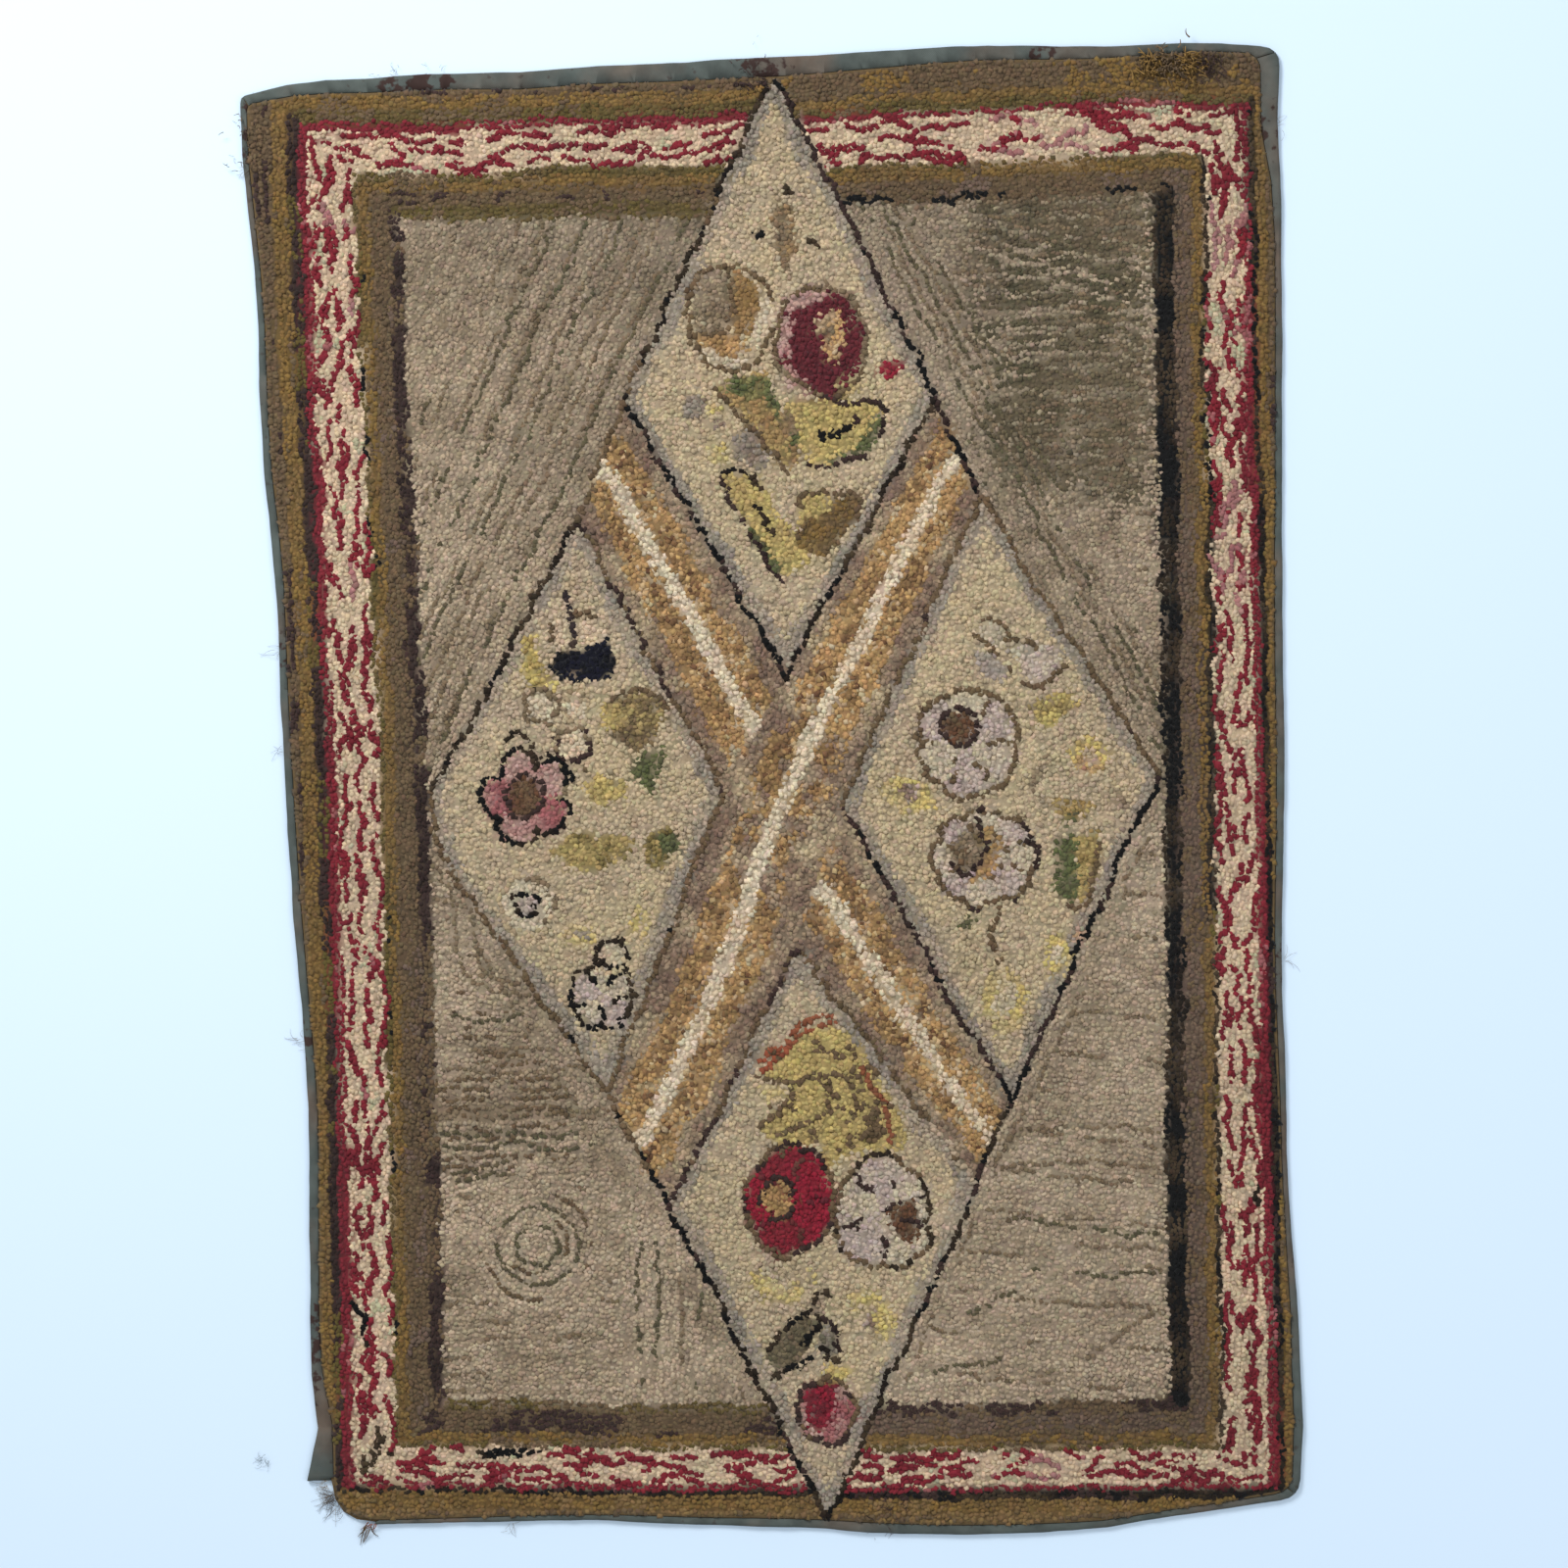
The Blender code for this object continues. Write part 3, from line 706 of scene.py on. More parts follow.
class Canvas:
    """The loops hooked so far, and where there is still room for more."""

    def __init__(self, step, row):
        self.step = step
        self.row = row
        self.taken = np.zeros([int(2 * r / CELL) + 1 for r in REACH], bool)
        self.loops = []
        self.rows = 0
        self.random = np.random.default_rng(11)

    def cells(self, points):
        cells = np.round((points + REACH) / CELL).astype(int)
        return tuple(np.clip(cells, 0, np.array(self.taken.shape) - 1).T)

    def mark(self, points, room):
        x, y = self.cells(points)
        span = int(room / CELL)
        for dx in range(-span, span + 1):
            for dy in range(-span, span + 1):
                if math.hypot(dx, dy) * CELL <= room:
                    self.taken[x + dx, y + dy] = True

    def hook(self, lines, role, part=None, yarns=None, room=2.7, step=None, keep=None):
        """Hooks loops down these lines, wherever they lie in the part and there is room."""
        found, turns, rows, named = [], [], [], []
        for line, yarn in zip(lines, yarns or [""] * len(lines)):
            line = np.asarray(line, float)
            spacing = step or self.step
            offset = self.random.uniform(0, spacing)
            points, turn = resampled(line, spacing, offset)
            found.append(points)
            turns.append(turn)
            rows.append(np.full(len(points), self.rows))
            named.append(np.full(len(points), yarn, dtype=object))
            self.rows += 1
        points, turn, row, yarn = map(np.concatenate, (found, turns, rows, named))
        where = parts_at(points)
        good = where >= 0
        if part is not None:
            good &= np.isin(where, [PART[name] for name in np.atleast_1d(part)])
        if keep is not None:
            good &= keep(points)
        x, y = self.cells(points)
        good &= ~self.taken[x, y]
        self.add(points[good], turn[good], row[good], where[good], role, yarn[good], room)

    def add(self, points, turn, row, part, role, yarn, room):
        self.mark(points, room)
        self.loops.append({"xy": points, "turn": turn, "row": row, "part": part,
                           "role": np.full(len(points), role), "yarn": yarn})

    def fill_gaps(self, room=2.6):
        """Hooks a loop into every place that is still more than room from all others."""
        for _ in range(3):
            free = np.argwhere(~self.taken)
            points = free * CELL - REACH
            part = parts_at(points)
            points, part = points[part >= 0], part[part >= 0]
            rank = np.zeros(self.taken.shape)
            x, y = self.cells(points)
            rank[x, y] = self.random.uniform(0.01, 1, len(points))
            most = np.zeros(len(points))
            span = int(room / CELL)
            for dx in range(-span, span + 1):
                for dy in range(-span, span + 1):
                    most = np.maximum(most, rank[x + dx, y + dy])
            best = rank[x, y] >= most
            turn = self.random.uniform(0, math.pi, best.sum())
            row = np.full(best.sum(), self.rows)
            self.rows += 1
            named = np.full(best.sum(), "", dtype=object)
            self.add(points[best], turn, row, part[best], FILL, named, room)

    def all_loops(self):
        return {key: np.concatenate([batch[key] for batch in self.loops])
                for key in self.loops[0]}


def straight_rows(middle, turn, reach, row):
    """Parallel lines over a square round a middle."""
    way = np.array((math.cos(turn), math.sin(turn)))
    aside = np.array((-way[1], way[0]))
    count = int(reach / row)
    return [middle + aside * row * k + way * [[-reach], [reach]]
            for k in range(-count, count + 1)]


def ring_line(x, y, radius):
    turn = np.linspace(0, 2 * math.pi, 33)
    return np.stack((x + radius * np.cos(turn), y + radius * np.sin(turn)), 1)


def closed(outline):
    return np.vstack((outline, outline[:1]))


def rounded(route, times=2):
    """A line with its corners cut twice over, and its ends kept."""
    line = np.array(route, float)
    for _ in range(times):
        a, b = line[:-1], line[1:]
        middle = np.stack((a * 0.75 + b * 0.25, a * 0.25 + b * 0.75), 1).reshape(-1, 2)
        line = np.vstack((line[:1], middle, line[-1:]))
    return line


def petal_reach(flower, turn):
    """How far the edge of a flower lies from its middle, as a share of its half width."""
    petal = (turn - math.radians(flower.turn)) * flower.petals / (2 * math.pi)
    between = np.abs(petal - np.round(petal)) * 2
    x, y = flower.x + 30 * np.cos(turn), flower.y + 30 * np.sin(turn)
    return (1 + 0.07 * smooth_noise(x, y, 14, 61)) * (1 - flower.notch * between**3)


def petal_line(flower, scale):
    turn = np.linspace(0, 2 * math.pi, 61)
    reach = petal_reach(flower, turn) * scale
    x = flower.x + flower.across * reach * np.cos(turn)
    return np.stack((x, flower.y + flower.up * reach * np.sin(turn)), 1)


def seam_lines(flower):
    """The seams between a flower's petals."""
    lines = []
    for k in range(flower.petals):
        turn = math.radians(flower.turn) + (k + 0.5) * 2 * math.pi / flower.petals
        reach = np.array((0.42, 0.7, 0.95)) * (1 - flower.notch)
        turn = turn + np.array((-0.12, 0.1, 0.0))
        x = flower.x + flower.across * reach * np.cos(turn)
        lines.append(np.stack((x, flower.y + flower.up * reach * np.sin(turn)), 1))
    return lines


# Spacing and room of the loops in the lines of the motifs and in the outlines.
THIN = {"step": 2.5, "room": 2.7}
BOLD = {"step": 2.5, "room": 3.0}


def hook_outlines(canvas):
    lines = [corners_of((line.start, line.end)) for line in OUTLINES]
    canvas.hook(lines, OUTLINE, yarns=[line.yarn for line in OUTLINES], **BOLD)


# The frond in the bottom lozenge: its middle and half sizes, and its short wavy veins.
Frond = namedtuple("Frond", "x y across up veins shortest longest")
FROND = Frond(42, -232, 54, 46, 46, 7, 18)


def frond_veins(random):
    """Short wavy veins at chance places on the frond, most of them slanting down."""
    veins = []
    for _ in range(FROND.veins):
        turn = random.normal(-0.9, 0.7)
        steps = np.arange(0, random.uniform(FROND.shortest, FROND.longest), 2.0)
        spot = random.uniform(-0.85, 0.85, 2) * (FROND.across, FROND.up) + (FROND.x, FROND.y)
        line = spot + steps[:, None] * (math.cos(turn), math.sin(turn))
        line[:, 0] += 2.2 * np.sin(steps * 0.5 + turn * 9)
        veins.append(line)
    return veins


# How many rows follow a lozenge's edge, and how far the straight rows inside it reach.
EDGE_ROWS = 3
LOZENGE_REACH = 300.0


def hook_lozenges(canvas):
    turns = {"top": 0.0, "left": 0.1, "right": -0.05, "bottom": 0.0}
    strokes = [rounded(stroke.route) for stroke in STROKES]
    parts = ["lozenge_" + name for name in LOZENGES]
    canvas.hook(strokes, OUTLINE, parts, [stroke.yarn for stroke in STROKES], **THIN)
    canvas.hook([petal_line(f, 1.03) for f in FLOWERS], OUTLINE, parts,
                [f.line for f in FLOWERS], **THIN)
    for flower in FLOWERS:
        if flower.seam:
            seams = seam_lines(flower)
            canvas.hook(seams, OUTLINE, parts, [flower.seam] * len(seams), **THIN)
    canvas.hook(frond_veins(canvas.random), OUTLINE, "lozenge_bottom",
                ["umber//0.42"] * FROND.veins, **THIN)
    for name, names in LOZENGES.items():
        outline = corners_of(names)
        part = "lozenge_" + name
        for k in range(1, EDGE_ROWS + 1):
            canvas.hook([closed(inset_outline(outline, k * canvas.row))], FILL, part)
        for flower in FLOWERS:
            if inside(np.array([(flower.x, flower.y)]), outline)[0]:
                size = max(flower.across, flower.up)
                scales = np.arange(size - canvas.row, 1.0, -canvas.row) / size
                canvas.hook([petal_line(flower, k) for k in scales], PETAL, part)
        rows = straight_rows(outline.mean(0), turns[name], LOZENGE_REACH, canvas.row)
        canvas.hook(rows, FILL, part)


def hook_bands(canvas):
    share = np.linspace(0, 1, 60)

    def spread(line):
        legs = np.linalg.norm(np.diff(line, axis=0), axis=1)
        reach = np.concatenate(([0], np.cumsum(legs))) / legs.sum()
        return np.stack([np.interp(share, reach, line[:, i]) for i in (0, 1)], 1)

    for name, edges in BANDS.items():
        first, second = (spread(corners_of(names)) for names in edges)
        width = np.linalg.norm(first - second, axis=1).mean()
        count = round(width / (canvas.row * 1.08))
        rows = [first + (second - first) * (k / count) for k in range(1, count)]
        canvas.hook(rows, FILL, "band_" + name, step=canvas.step * 1.15, room=3.0)


def border_line(side, along, depth):
    """A line down a side of the border at some depth out from the ground."""
    across = np.interp(along, *GROUND_EDGE[side]) + OUTWARD[side] * depth
    return np.stack((across, along) if ACROSS[side] == 0 else (along, across), 1)


# The crimson strokes of the border: how many lanes they lie in, how long they are and how
# long the gaps are, how often one is black, and the noise above which one is faded.
LANES = 3
STROKE_LENGTHS = (20, 30, 42, 58)
STROKE_GAPS = (-6, 4, 9, 15)
STROKE_STEP = 2.0
SHORTEST_STROKE = 8
BLACK_SHARE = 0.02
FADED_ABOVE = 0.62
# How thick a stroke can be, and from what thickness it has a third row.
THICKEST = 0.8
THIRD_ROW = 0.6


def hook_strokes(canvas, side, along, low, high):
    """Wavy crimson strokes of chance lengths, thickest in their middles, in lanes."""
    random = canvas.random
    for lane in range(LANES):
        at = along[0] + random.uniform(0, 20)
        while at < along[-1]:
            length = random.choice(STROKE_LENGTHS) * random.uniform(0.7, 1.3)
            place = np.arange(at, min(at + length, along[-1]), STROKE_STEP)
            at += length + random.choice(STROKE_GAPS) * random.uniform(0.7, 1.3)
            if len(place) < SHORTEST_STROKE:
                continue
            share = (lane + 0.5) / LANES + random.uniform(-0.1, 0.1)
            share = share + random.uniform(-0.16, 0.16) * np.linspace(-1, 1, len(place))
            depth, width = (np.interp(place, along, edge) for edge in (low, high - low))
            wave = 2.4 * smooth_noise(place, place * 0 + lane * 31, 11, 40)
            wave = wave + 1.8 * smooth_noise(place, place * 0, 26, 41)
            line = border_line(side, place, depth + width * share.clip(0.08, 0.92) + wave)
            faded = smooth_noise(np.array([at]), np.array([lane * 9.0]), 110, 60)[0]
            yarn = "rose/crimson/0.5" if faded > FADED_ABOVE else "crimson/rose/0.06"
            if random.uniform() < BLACK_SHARE:
                yarn = "black"
            aside = np.array((canvas.row, 0.0) if ACROSS[side] == 0 else (0.0, canvas.row)) * 0.85
            thick = random.uniform(0.0, THICKEST)
            trim = round(len(place) * (1 - thick) / 2) + 1
            lines = [line, (line + aside)[trim:-trim]]
            if thick > THIRD_ROW:
                lines.append((line - aside)[2 * trim:-2 * trim])
            lines = [each for each in lines if len(each) > 2]
            canvas.hook(lines, OUTLINE, "border_" + side, [yarn] * len(lines), step=2.6, room=2.6)


# How far the edges of the border's bands wander, in mm.
RAGGED = 1.7


def hook_border(canvas):
    apexes = {"top": POINTS["top"][0], "bottom": POINTS["low"][0]}
    for side in SIDES:
        ends = (-600.0, apexes[side], 600.0) if side in apexes else (-600.0, 600.0)
        for start, end in zip(ends[:-1], ends[1:]):
            along = np.arange(start, end + 4, 4.0)
            run = run_names(side, np.array([(start + end) / 2]))[0]
            edges = band_edges(side, along, run)
            ragged = RAGGED * smooth_noise(along, along * 0, 10, 45 + SIDES.index(side))
            for i, band in enumerate(BORDER[run]):
                low, high = edges[i], edges[i + 1]
                yarn = band.yarn
                if band.yarn == "strokes":
                    hook_strokes(canvas, side, along, low, high)
                    yarn = "cream/sage/0.2"
                count = max(1, round((high - low)[20:-20].mean() / canvas.row))
                for k in range(count):
                    depth = low + (high - low) * (k + 0.5) / count + ragged
                    line = border_line(side, along, depth)
                    canvas.hook([line], FILL, "border_" + side, [yarn], room=2.5)


# Rows that follow the diamond's edge in each corner: the two ends of that edge, how many
# rows follow it, how far they spread at each end, and which of them are darker.
Contour = namedtuple("Contour", "start end count spread darker")
CONTOURS = {
    "upper_left": Contour("top", "left", 75, (1.12, 0.85), {
        3: "moss//0.3", 4: "clay//0.5", 8: "clay//0.4", 11: "clay//0.3", 15: "moss//0.35",
        17: "clay//0.3", 22: "moss//0.2", 23: "clay//0.4", 28: "moss//0.3", 30: "clay//0.4",
        35: "clay//0.5", 38: "moss//0.6"}),
    "upper_right": Contour("top", "right", 13, (1.1, 0.9), {
        3: "moss//0.3", 5: "clay//0.2", 7: "moss//0.3", 9: "clay//0.3", 11: "moss//0.4"}),
    "lower_left": Contour("low", "left_blunt", 3, (1.0, 1.0), {2: "clay//0.6"}),
    "lower_right": Contour("low", "right", 4, (1.0, 1.0), {3: "clay//0.6"}),
}
# The tilt of the rows that fill each corner, and how often one is darker.
CORNER_ROWS = {"upper_left": (1.1, 5), "upper_right": (0.04, 3), "lower_left": (0.02, 4),
               "lower_right": (-0.1, 9)}


# Between these heights the lower left corner has a grain of darker rows. Below it are
# rings round a middle, and upright rows beside them.
GRAINED = (-290, -150)
SWIRL = (-179, -350)
SWIRL_RINGS = {4: "moss//0.25", 6: "umber//0.55", 8: "moss//0.25", 11: "umber//0.55"}


def hook_swirl(canvas, part):
    """Rings and upright rows in the lower left corner."""
    rings = [ring_line(*SWIRL, radius) for radius in np.arange(2, 52, canvas.row)]
    canvas.hook(rings, FILL, part, [SWIRL_RINGS.get(k, "") for k in range(len(rings))])
    upright = straight_rows(np.array((-80.0, -400.0)), math.pi / 2, 90.0, canvas.row)
    canvas.hook(upright, FILL, part, keep=lambda at: (at[:, 0] > -112) & (at[:, 1] < -318))


def hook_grounds(canvas):
    traces = [rounded(trace.route) for trace in TRACES]
    canvas.hook(traces, FILL, ["ground_" + name for name in GROUNDS],
                [trace.yarn for trace in TRACES], room=2.5)
    for name, contour in CONTOURS.items():
        part = "ground_" + name
        start, end = corners_of((contour.start, contour.end))
        way = (end - start) / np.linalg.norm(end - start)
        aside = np.array((-way[1], way[0]))
        if aside @ start < 0:
            aside = -aside
        lines, yarns = [], []
        for k in range(-8, contour.count):
            depth = canvas.row * (k + 0.4)
            ends = [start - way * 60 + aside * depth * contour.spread[0],
                    end + way * 60 + aside * depth * contour.spread[1]]
            lines.append(np.array(ends))
            yarns.append(contour.darker.get(k, ""))
        canvas.hook(lines, FILL, part, yarns)
        if name == "lower_left":
            hook_swirl(canvas, part)
        tilt, darker = CORNER_ROWS[name]
        rows = straight_rows(np.zeros(2), tilt, 560.0, canvas.row)
        yarns = ["clay//0.6" if k % darker == 0 else "" for k in range(len(rows))]
        if name == "lower_left":
            for k, line in enumerate(rows):
                if k % 2 == 0 and GRAINED[0] < line[:, 1].mean() < GRAINED[1]:
                    yarns[k] = "umber//0.5"
        canvas.hook(rows, FILL, part, yarns)


# ---------------------------------------------------------------- choosing the yarn


class Palette:
    """Yarn colours by name, and the painted colour of each loop."""

    def __init__(self, yarns):
        self.names = [key for key in HookedRugYarns.__annotations__]
        self.index = {name: i for i, name in enumerate(self.names)}
        self.colours = np.array([tuple(getattr(yarns, name)) for name in self.names])

    def of(self, name, count):
        return np.tile(self.colours[self.index[name]], (count, 1))

    def mix(self, first, second, share):
        a, b = self.colours[self.index[first]], self.colours[self.index[second]]
        return a + (b - a) * np.clip(share, 0, 1)[:, None]


def border_colours(palette, points):
    """The yarn of the band that each point lies in."""
    side, count = border_bands(points)
    which = np.clip(count.astype(int), 0, BAND_COUNT - 1)
    colour = palette.of("umber", len(points))
    for s, name in enumerate(SIDES):
        runs = run_names(name, points[:, 1 - ACROSS[name]])
        for run in set(runs[side == s]):
            for i, band in enumerate(BORDER[run]):
                yarn = band.yarn.replace("strokes", "cream").split("/")[0]
                here = (side == s) & (runs == run) & (which == i)
                colour[here] = palette.colours[palette.index[yarn]]
    return colour


def random_by_row(row, seed):
    """A random number from 0 to 1 that all loops of a row share."""
    table = np.random.default_rng(seed).uniform(0, 1, int(row.max(initial=0)) + 1)
    return table[row] if len(row) else np.zeros(0)


def ground_colours(palette, points, row, part):
    """Mottled taupe, with an olive grey field in the upper right corner."""
    x, y = points[:, 0], points[:, 1]
    streak = random_by_row(row, 7)
    patch = smooth_noise(x, y, 48, 8) * 0.55 + smooth_noise(x, y, 13, 9) * 0.5
    colour = palette.mix("taupe", "clay", 0.2 + 0.5 * patch + 0.45 * (streak - 0.5))
    fray = 9 * np.random.default_rng(19).standard_normal(len(x))
    x, y = x + fray, y + fray[::-1]
    field = (part == PART["ground_upper_right"]) & (y > 230 + 10 * smooth_noise(x, y, 30, 12))
    field &= x > 178 + 16 * smooth_noise(x, y, 40, 13) - (y - 232) * 0.16
    field &= x < 288 + 6 * smooth_noise(x, y, 20, 15)
    x, y = points[:, 0], points[:, 1]
    # Painted highlight: lighter rows across the olive field where raised ridges of the pile would
    # catch the light; the loops there have no ridges of their own.
    ridge = np.sin(2 * math.pi * (y + 8 * smooth_noise(x, y, 32, 14)) / 12.5)
    ridge += 0.7 * smooth_noise(x, y * 2, 30, 11)
    colour[field] = palette.mix("moss", "clay", 0.45 + 0.6 * patch[field])
    light = field & (ridge > 0.35)
    colour[light] = palette.mix("taupe", "moss", 0.42 + 0.5 * patch[light])
    # Darker near the top of the diamond, towards the top of the upper left corner, and a little over
    # the upper right corner.
    near = np.clip((y - 90) / 150, 0, 1) * np.clip(1 - np.abs(x) / 300, 0, 1)
    darker_top = np.clip((y - 330) / 60, 0, 1) * (part == PART["ground_upper_left"])
    dull = part == PART["ground_upper_right"]
    colour *= ((1 - 0.3 * near) * (1 - 0.16 * darker_top) * np.where(dull, 0.93, 1.0))[:, None]
    band = (part == PART["ground_lower_left"]) & (np.abs(y + 225) < 44)
    colour[band] = palette.mix("taupe", "clay", 0.45 + 0.5 * patch[band])
    return colour


def lozenge_colours(palette, points):
    """Beige ground of the lozenges, cooler in the rows along their edges."""
    x, y = points[:, 0], points[:, 1]
    patch = smooth_noise(x, y, 30, 22) * 0.4 + smooth_noise(x, y, 11, 23) * 0.35
    colour = palette.mix("beige", "taupe", 0.3 + patch)
    edge = np.full(len(points), np.inf)
    for names in LOZENGES.values():
        edge = np.minimum(edge, distance_to(points, closed(corners_of(names))))
    rim = edge < 10.5 + 2.5 * smooth_noise(x, y, 40, 24)
    colour[rim] = palette.mix("mist", "taupe", 0.3 + patch[rim])
    return colour


def band_colours(palette, points, part):
    """Crossed bands: ivory centre stripe, deep ochre loops and mauve edges."""
    x, y = points[:, 0], points[:, 1]
    patch = smooth_noise(x, y, 26, 25) * 0.5 + smooth_noise(x, y, 8, 26) * 0.6
    share = np.full(len(points), 0.5)
    for name, (first, second) in BANDS.items():
        here = part == PART["band_" + name]
        a = distance_to(points[here], corners_of(first))
        b = distance_to(points[here], corners_of(second))
        share[here] = a / np.maximum(a + b, 1e-6)
    off = np.abs(share - 0.5) + 0.012 * smooth_noise(x, y, 14, 27)
    speck = smooth_noise(x, y, 3.4, 38)
    colour = palette.mix("ochre", "honey", 0.35 + patch)
    pale = speck > 0.42
    colour[pale] = palette.mix("honey", "beige", 0.4 + patch[pale])
    rust = (off > 0.1) & (off < 0.26) & (patch + 0.9 * speck < -0.28)
    colour[rust] = palette.mix("ochre", "heart", 0.75 + patch[rust])
    outer = off > 0.315 + 0.05 * smooth_noise(x, y, 20, 28)
    colour[outer] = palette.mix("mauve", "beige", 0.25 + 0.6 * patch[outer])
    centre = np.hypot(x - 12, (y + 12) * 0.6) < 52
    blend = centre & (off > 0.07) & (smooth_noise(x, y, 9, 29) > 0.15)
    colour[blend] = palette.mix("mauve", "beige", 0.35 + patch[blend])
    stripe = off < 0.072
    colour[stripe] = palette.mix("ivory", "cream", 0.3 + 0.6 * patch[stripe])
    return colour


def paint_motifs(palette, points, colour):
    """Leaves, buds and flowers, over the colour of the lozenges."""
    ragged = np.stack([smooth_noise(points[:, 0], points[:, 1], 9, s) for s in (31, 32)], 1)
    points = points + ragged * 1.5
    x, y = points[:, 0], points[:, 1]
    fine = 0.8 * smooth_noise(x, y, 5.5, 33) + 0.3 * smooth_noise(x, y, 14, 34)

    def put(mask, yarn, partner, share):
        colour[mask] = palette.mix(yarn, partner, share + 0.75 * fine[mask])

    def lay(patches):
        for patch in patches:
            mask = inside(points, np.array(patch.route, float))
            put(mask, patch.yarn, patch.partner, patch.share)

    for flower in FLOWERS:
        across, up = (x - flower.x) / flower.across, (y - flower.y) / flower.up
        turn = np.arctan2(up, across)
        petal = (turn - math.radians(flower.turn)) * flower.petals / (2 * math.pi)
        number = np.round(petal).astype(int) % flower.petals
        within = np.hypot(across, up) < petal_reach(flower, turn)
        even = number % 2 == 0
        put(within & even, flower.petal, flower.other, 0.1)
        put(within & ~even, flower.other, flower.petal, 0.1)
    lay(PATCHES)
    lay(HEARTS)


# What some yarns have faded or been soiled to, and how far.
DIRT = {"dusk": ("black", 0.5), "crimson": ("burgundy", 0.55), "rose": ("petal_lilac", 0.4),
        "cream": ("sage", 0.4)}


def named_colours(palette, loops, colour):
    """Rows with a yarn of their own, which may change to a second along their length."""
    for yarn in sorted(set(loops["yarn"]) - {""}):
        name, other, share = (yarn + "//0").split("/")[:3]
        here = np.flatnonzero(loops["yarn"] == yarn)
        x, y = loops["xy"][here].T
        grain = smooth_noise(x, y, 26, 35) * 0.7 + smooth_noise(x, y, 6, 36) * 0.3
        change = grain < float(share or 0) * 1.3 - 0.72
        dirt, depth = DIRT.get(name, ("umber", 0.5))
        chosen = palette.mix(name, dirt, depth * (0.3 + grain))
        if other:
            chosen[change] = palette.colours[palette.index[other]]
        else:
            chosen[change] = colour[here[change]]
        colour[here] = chosen


def yarn_colours(palette, loops):
    """The colour of every loop."""
    random = np.random.default_rng(17)
    points, part, row = loops["xy"], loops["part"], loops["row"]
    colour = np.zeros((len(points), 3))
    border = part < PART["ground_upper_left"]
    ground = (part >= PART["ground_upper_left"]) & (part < PART["lozenge_top"])
    lozenge = (part >= PART["lozenge_top"]) & (part < PART["band_over"])
    band = part >= PART["band_over"]
    colour[border] = border_colours(palette, points[border])
    colour[ground] = ground_colours(palette, points[ground], row[ground], part[ground])
    inner = lozenge_colours(palette, points[lozenge])
    paint_motifs(palette, points[lozenge], inner)
    colour[lozenge] = inner
    colour[band] = band_colours(palette, points[band], part[band])
    named_colours(palette, loops, colour)
    shade = 1 + 0.12 * random.standard_normal(len(points)).clip(-2, 2)
    shade *= 1 + 0.05 * smooth_noise(points[:, 0], points[:, 1], 120, 37)
    warm = 1 + 0.03 * random.standard_normal((len(points), 3)).clip(-2, 2)
    return (colour * shade[:, None] * warm).clip(0.004, 0.95)


# ---------------------------------------------------------------- making the loops


# How far loops stray from the plan, over what distance, and the seeds across and up.
DRIFTS = ((2.1, 58, (51, 52)), (1.4, 15, (53, 54)), (2.2, 6.5, (57, 58)))


def drift(points):
    """Moves the plan to where an uneven hand hooked it, and leaves the rim as it is."""
    x, y = points[:, 0], points[:, 1]
    room = np.full(len(points), np.inf)
    for side in SIDES:
        room = np.minimum(room, rim_room(points, side))
    fade = np.clip((room - 2) / 24, 0, 1)[:, None]
    moved = sum(
        depth * np.stack([smooth_noise(x, y, size, seed) for seed in seeds], 1)
        for depth, size, seeds in DRIFTS
    )
    return points + fade * moved


def loop_template():
    """One loop of yarn: a four-sided foot drawn together into a short ridge."""
    shape = bmesh.new()
    bmesh.ops.create_cone(
        shape, cap_ends=True, segments=4, radius1=math.sqrt(2), radius2=0.5, depth=1.0
    )
    bmesh.ops.rotate(shape, verts=shape.verts[:], matrix=Matrix.Rotation(math.pi / 4, 3, "Z"))
    bmesh.ops.translate(shape, verts=shape.verts[:], vec=(0, 0, 0.5))
    for sign in (-1, 1):
        top = [v for v in shape.verts if v.co.z > 0.5 and v.co.y * sign > 0.01]
        bmesh.ops.pointmerge(shape, verts=top, merge_co=(0.0, 0.42 * sign, 1.0))
    bmesh.ops.recalc_face_normals(shape, faces=shape.faces[:])
    shape.verts.index_update()
    places = np.array([v.co for v in shape.verts])
    faces = [[v.index for v in face.verts] for face in shape.faces]
    shape.free()
    return places, faces


def joined_loops(name, loops, foot):
    """A mesh of many loops, each a turned and scaled copy of the template."""
    places, faces = loop_template()
    centre, lean = loops["centre"], loops["lean"]
    count, corners = len(centre), len(places)
    cos, sin = np.cos(loops["turn"])[:, None], np.sin(loops["turn"])[:, None]
    along = places[None, :, 1] * loops["reach"][:, None]
    side = places[None, :, 0] * loops["across"][:, None]
    rise = places[None, :, 2]
    x = centre[:, :1] + along * cos - side * sin + rise * lean[:, :1]
    y = centre[:, 1:] + along * sin + side * cos + rise * lean[:, 1:]
    z = foot + rise * (loops["tall"][:, None] - foot)
    flat = np.concatenate([np.array(face) for face in faces])
    sizes = np.array([len(face) for face in faces])
    vertex = (flat[None] + corners * np.arange(count)[:, None]).ravel()
    totals = np.tile(sizes, count)
    mesh = bpy.data.meshes.new(name)
    mesh.vertices.add(count * corners)
    mesh.vertices.foreach_set("co", (np.stack((x, y, z), 2) * MM).astype(np.float32).ravel())
    mesh.loops.add(len(vertex))
    mesh.loops.foreach_set("vertex_index", vertex.astype(np.int32))
    mesh.polygons.add(len(totals))
    starts = np.concatenate(([0], np.cumsum(totals)[:-1]))
    mesh.polygons.foreach_set("loop_start", starts.astype(np.int32))
    mesh.update(calc_edges=True)
    mesh.shade_smooth()
    paint_yarn(mesh, np.repeat(loops["colour"], corners, axis=0))
    plan_map(mesh)
    return mesh


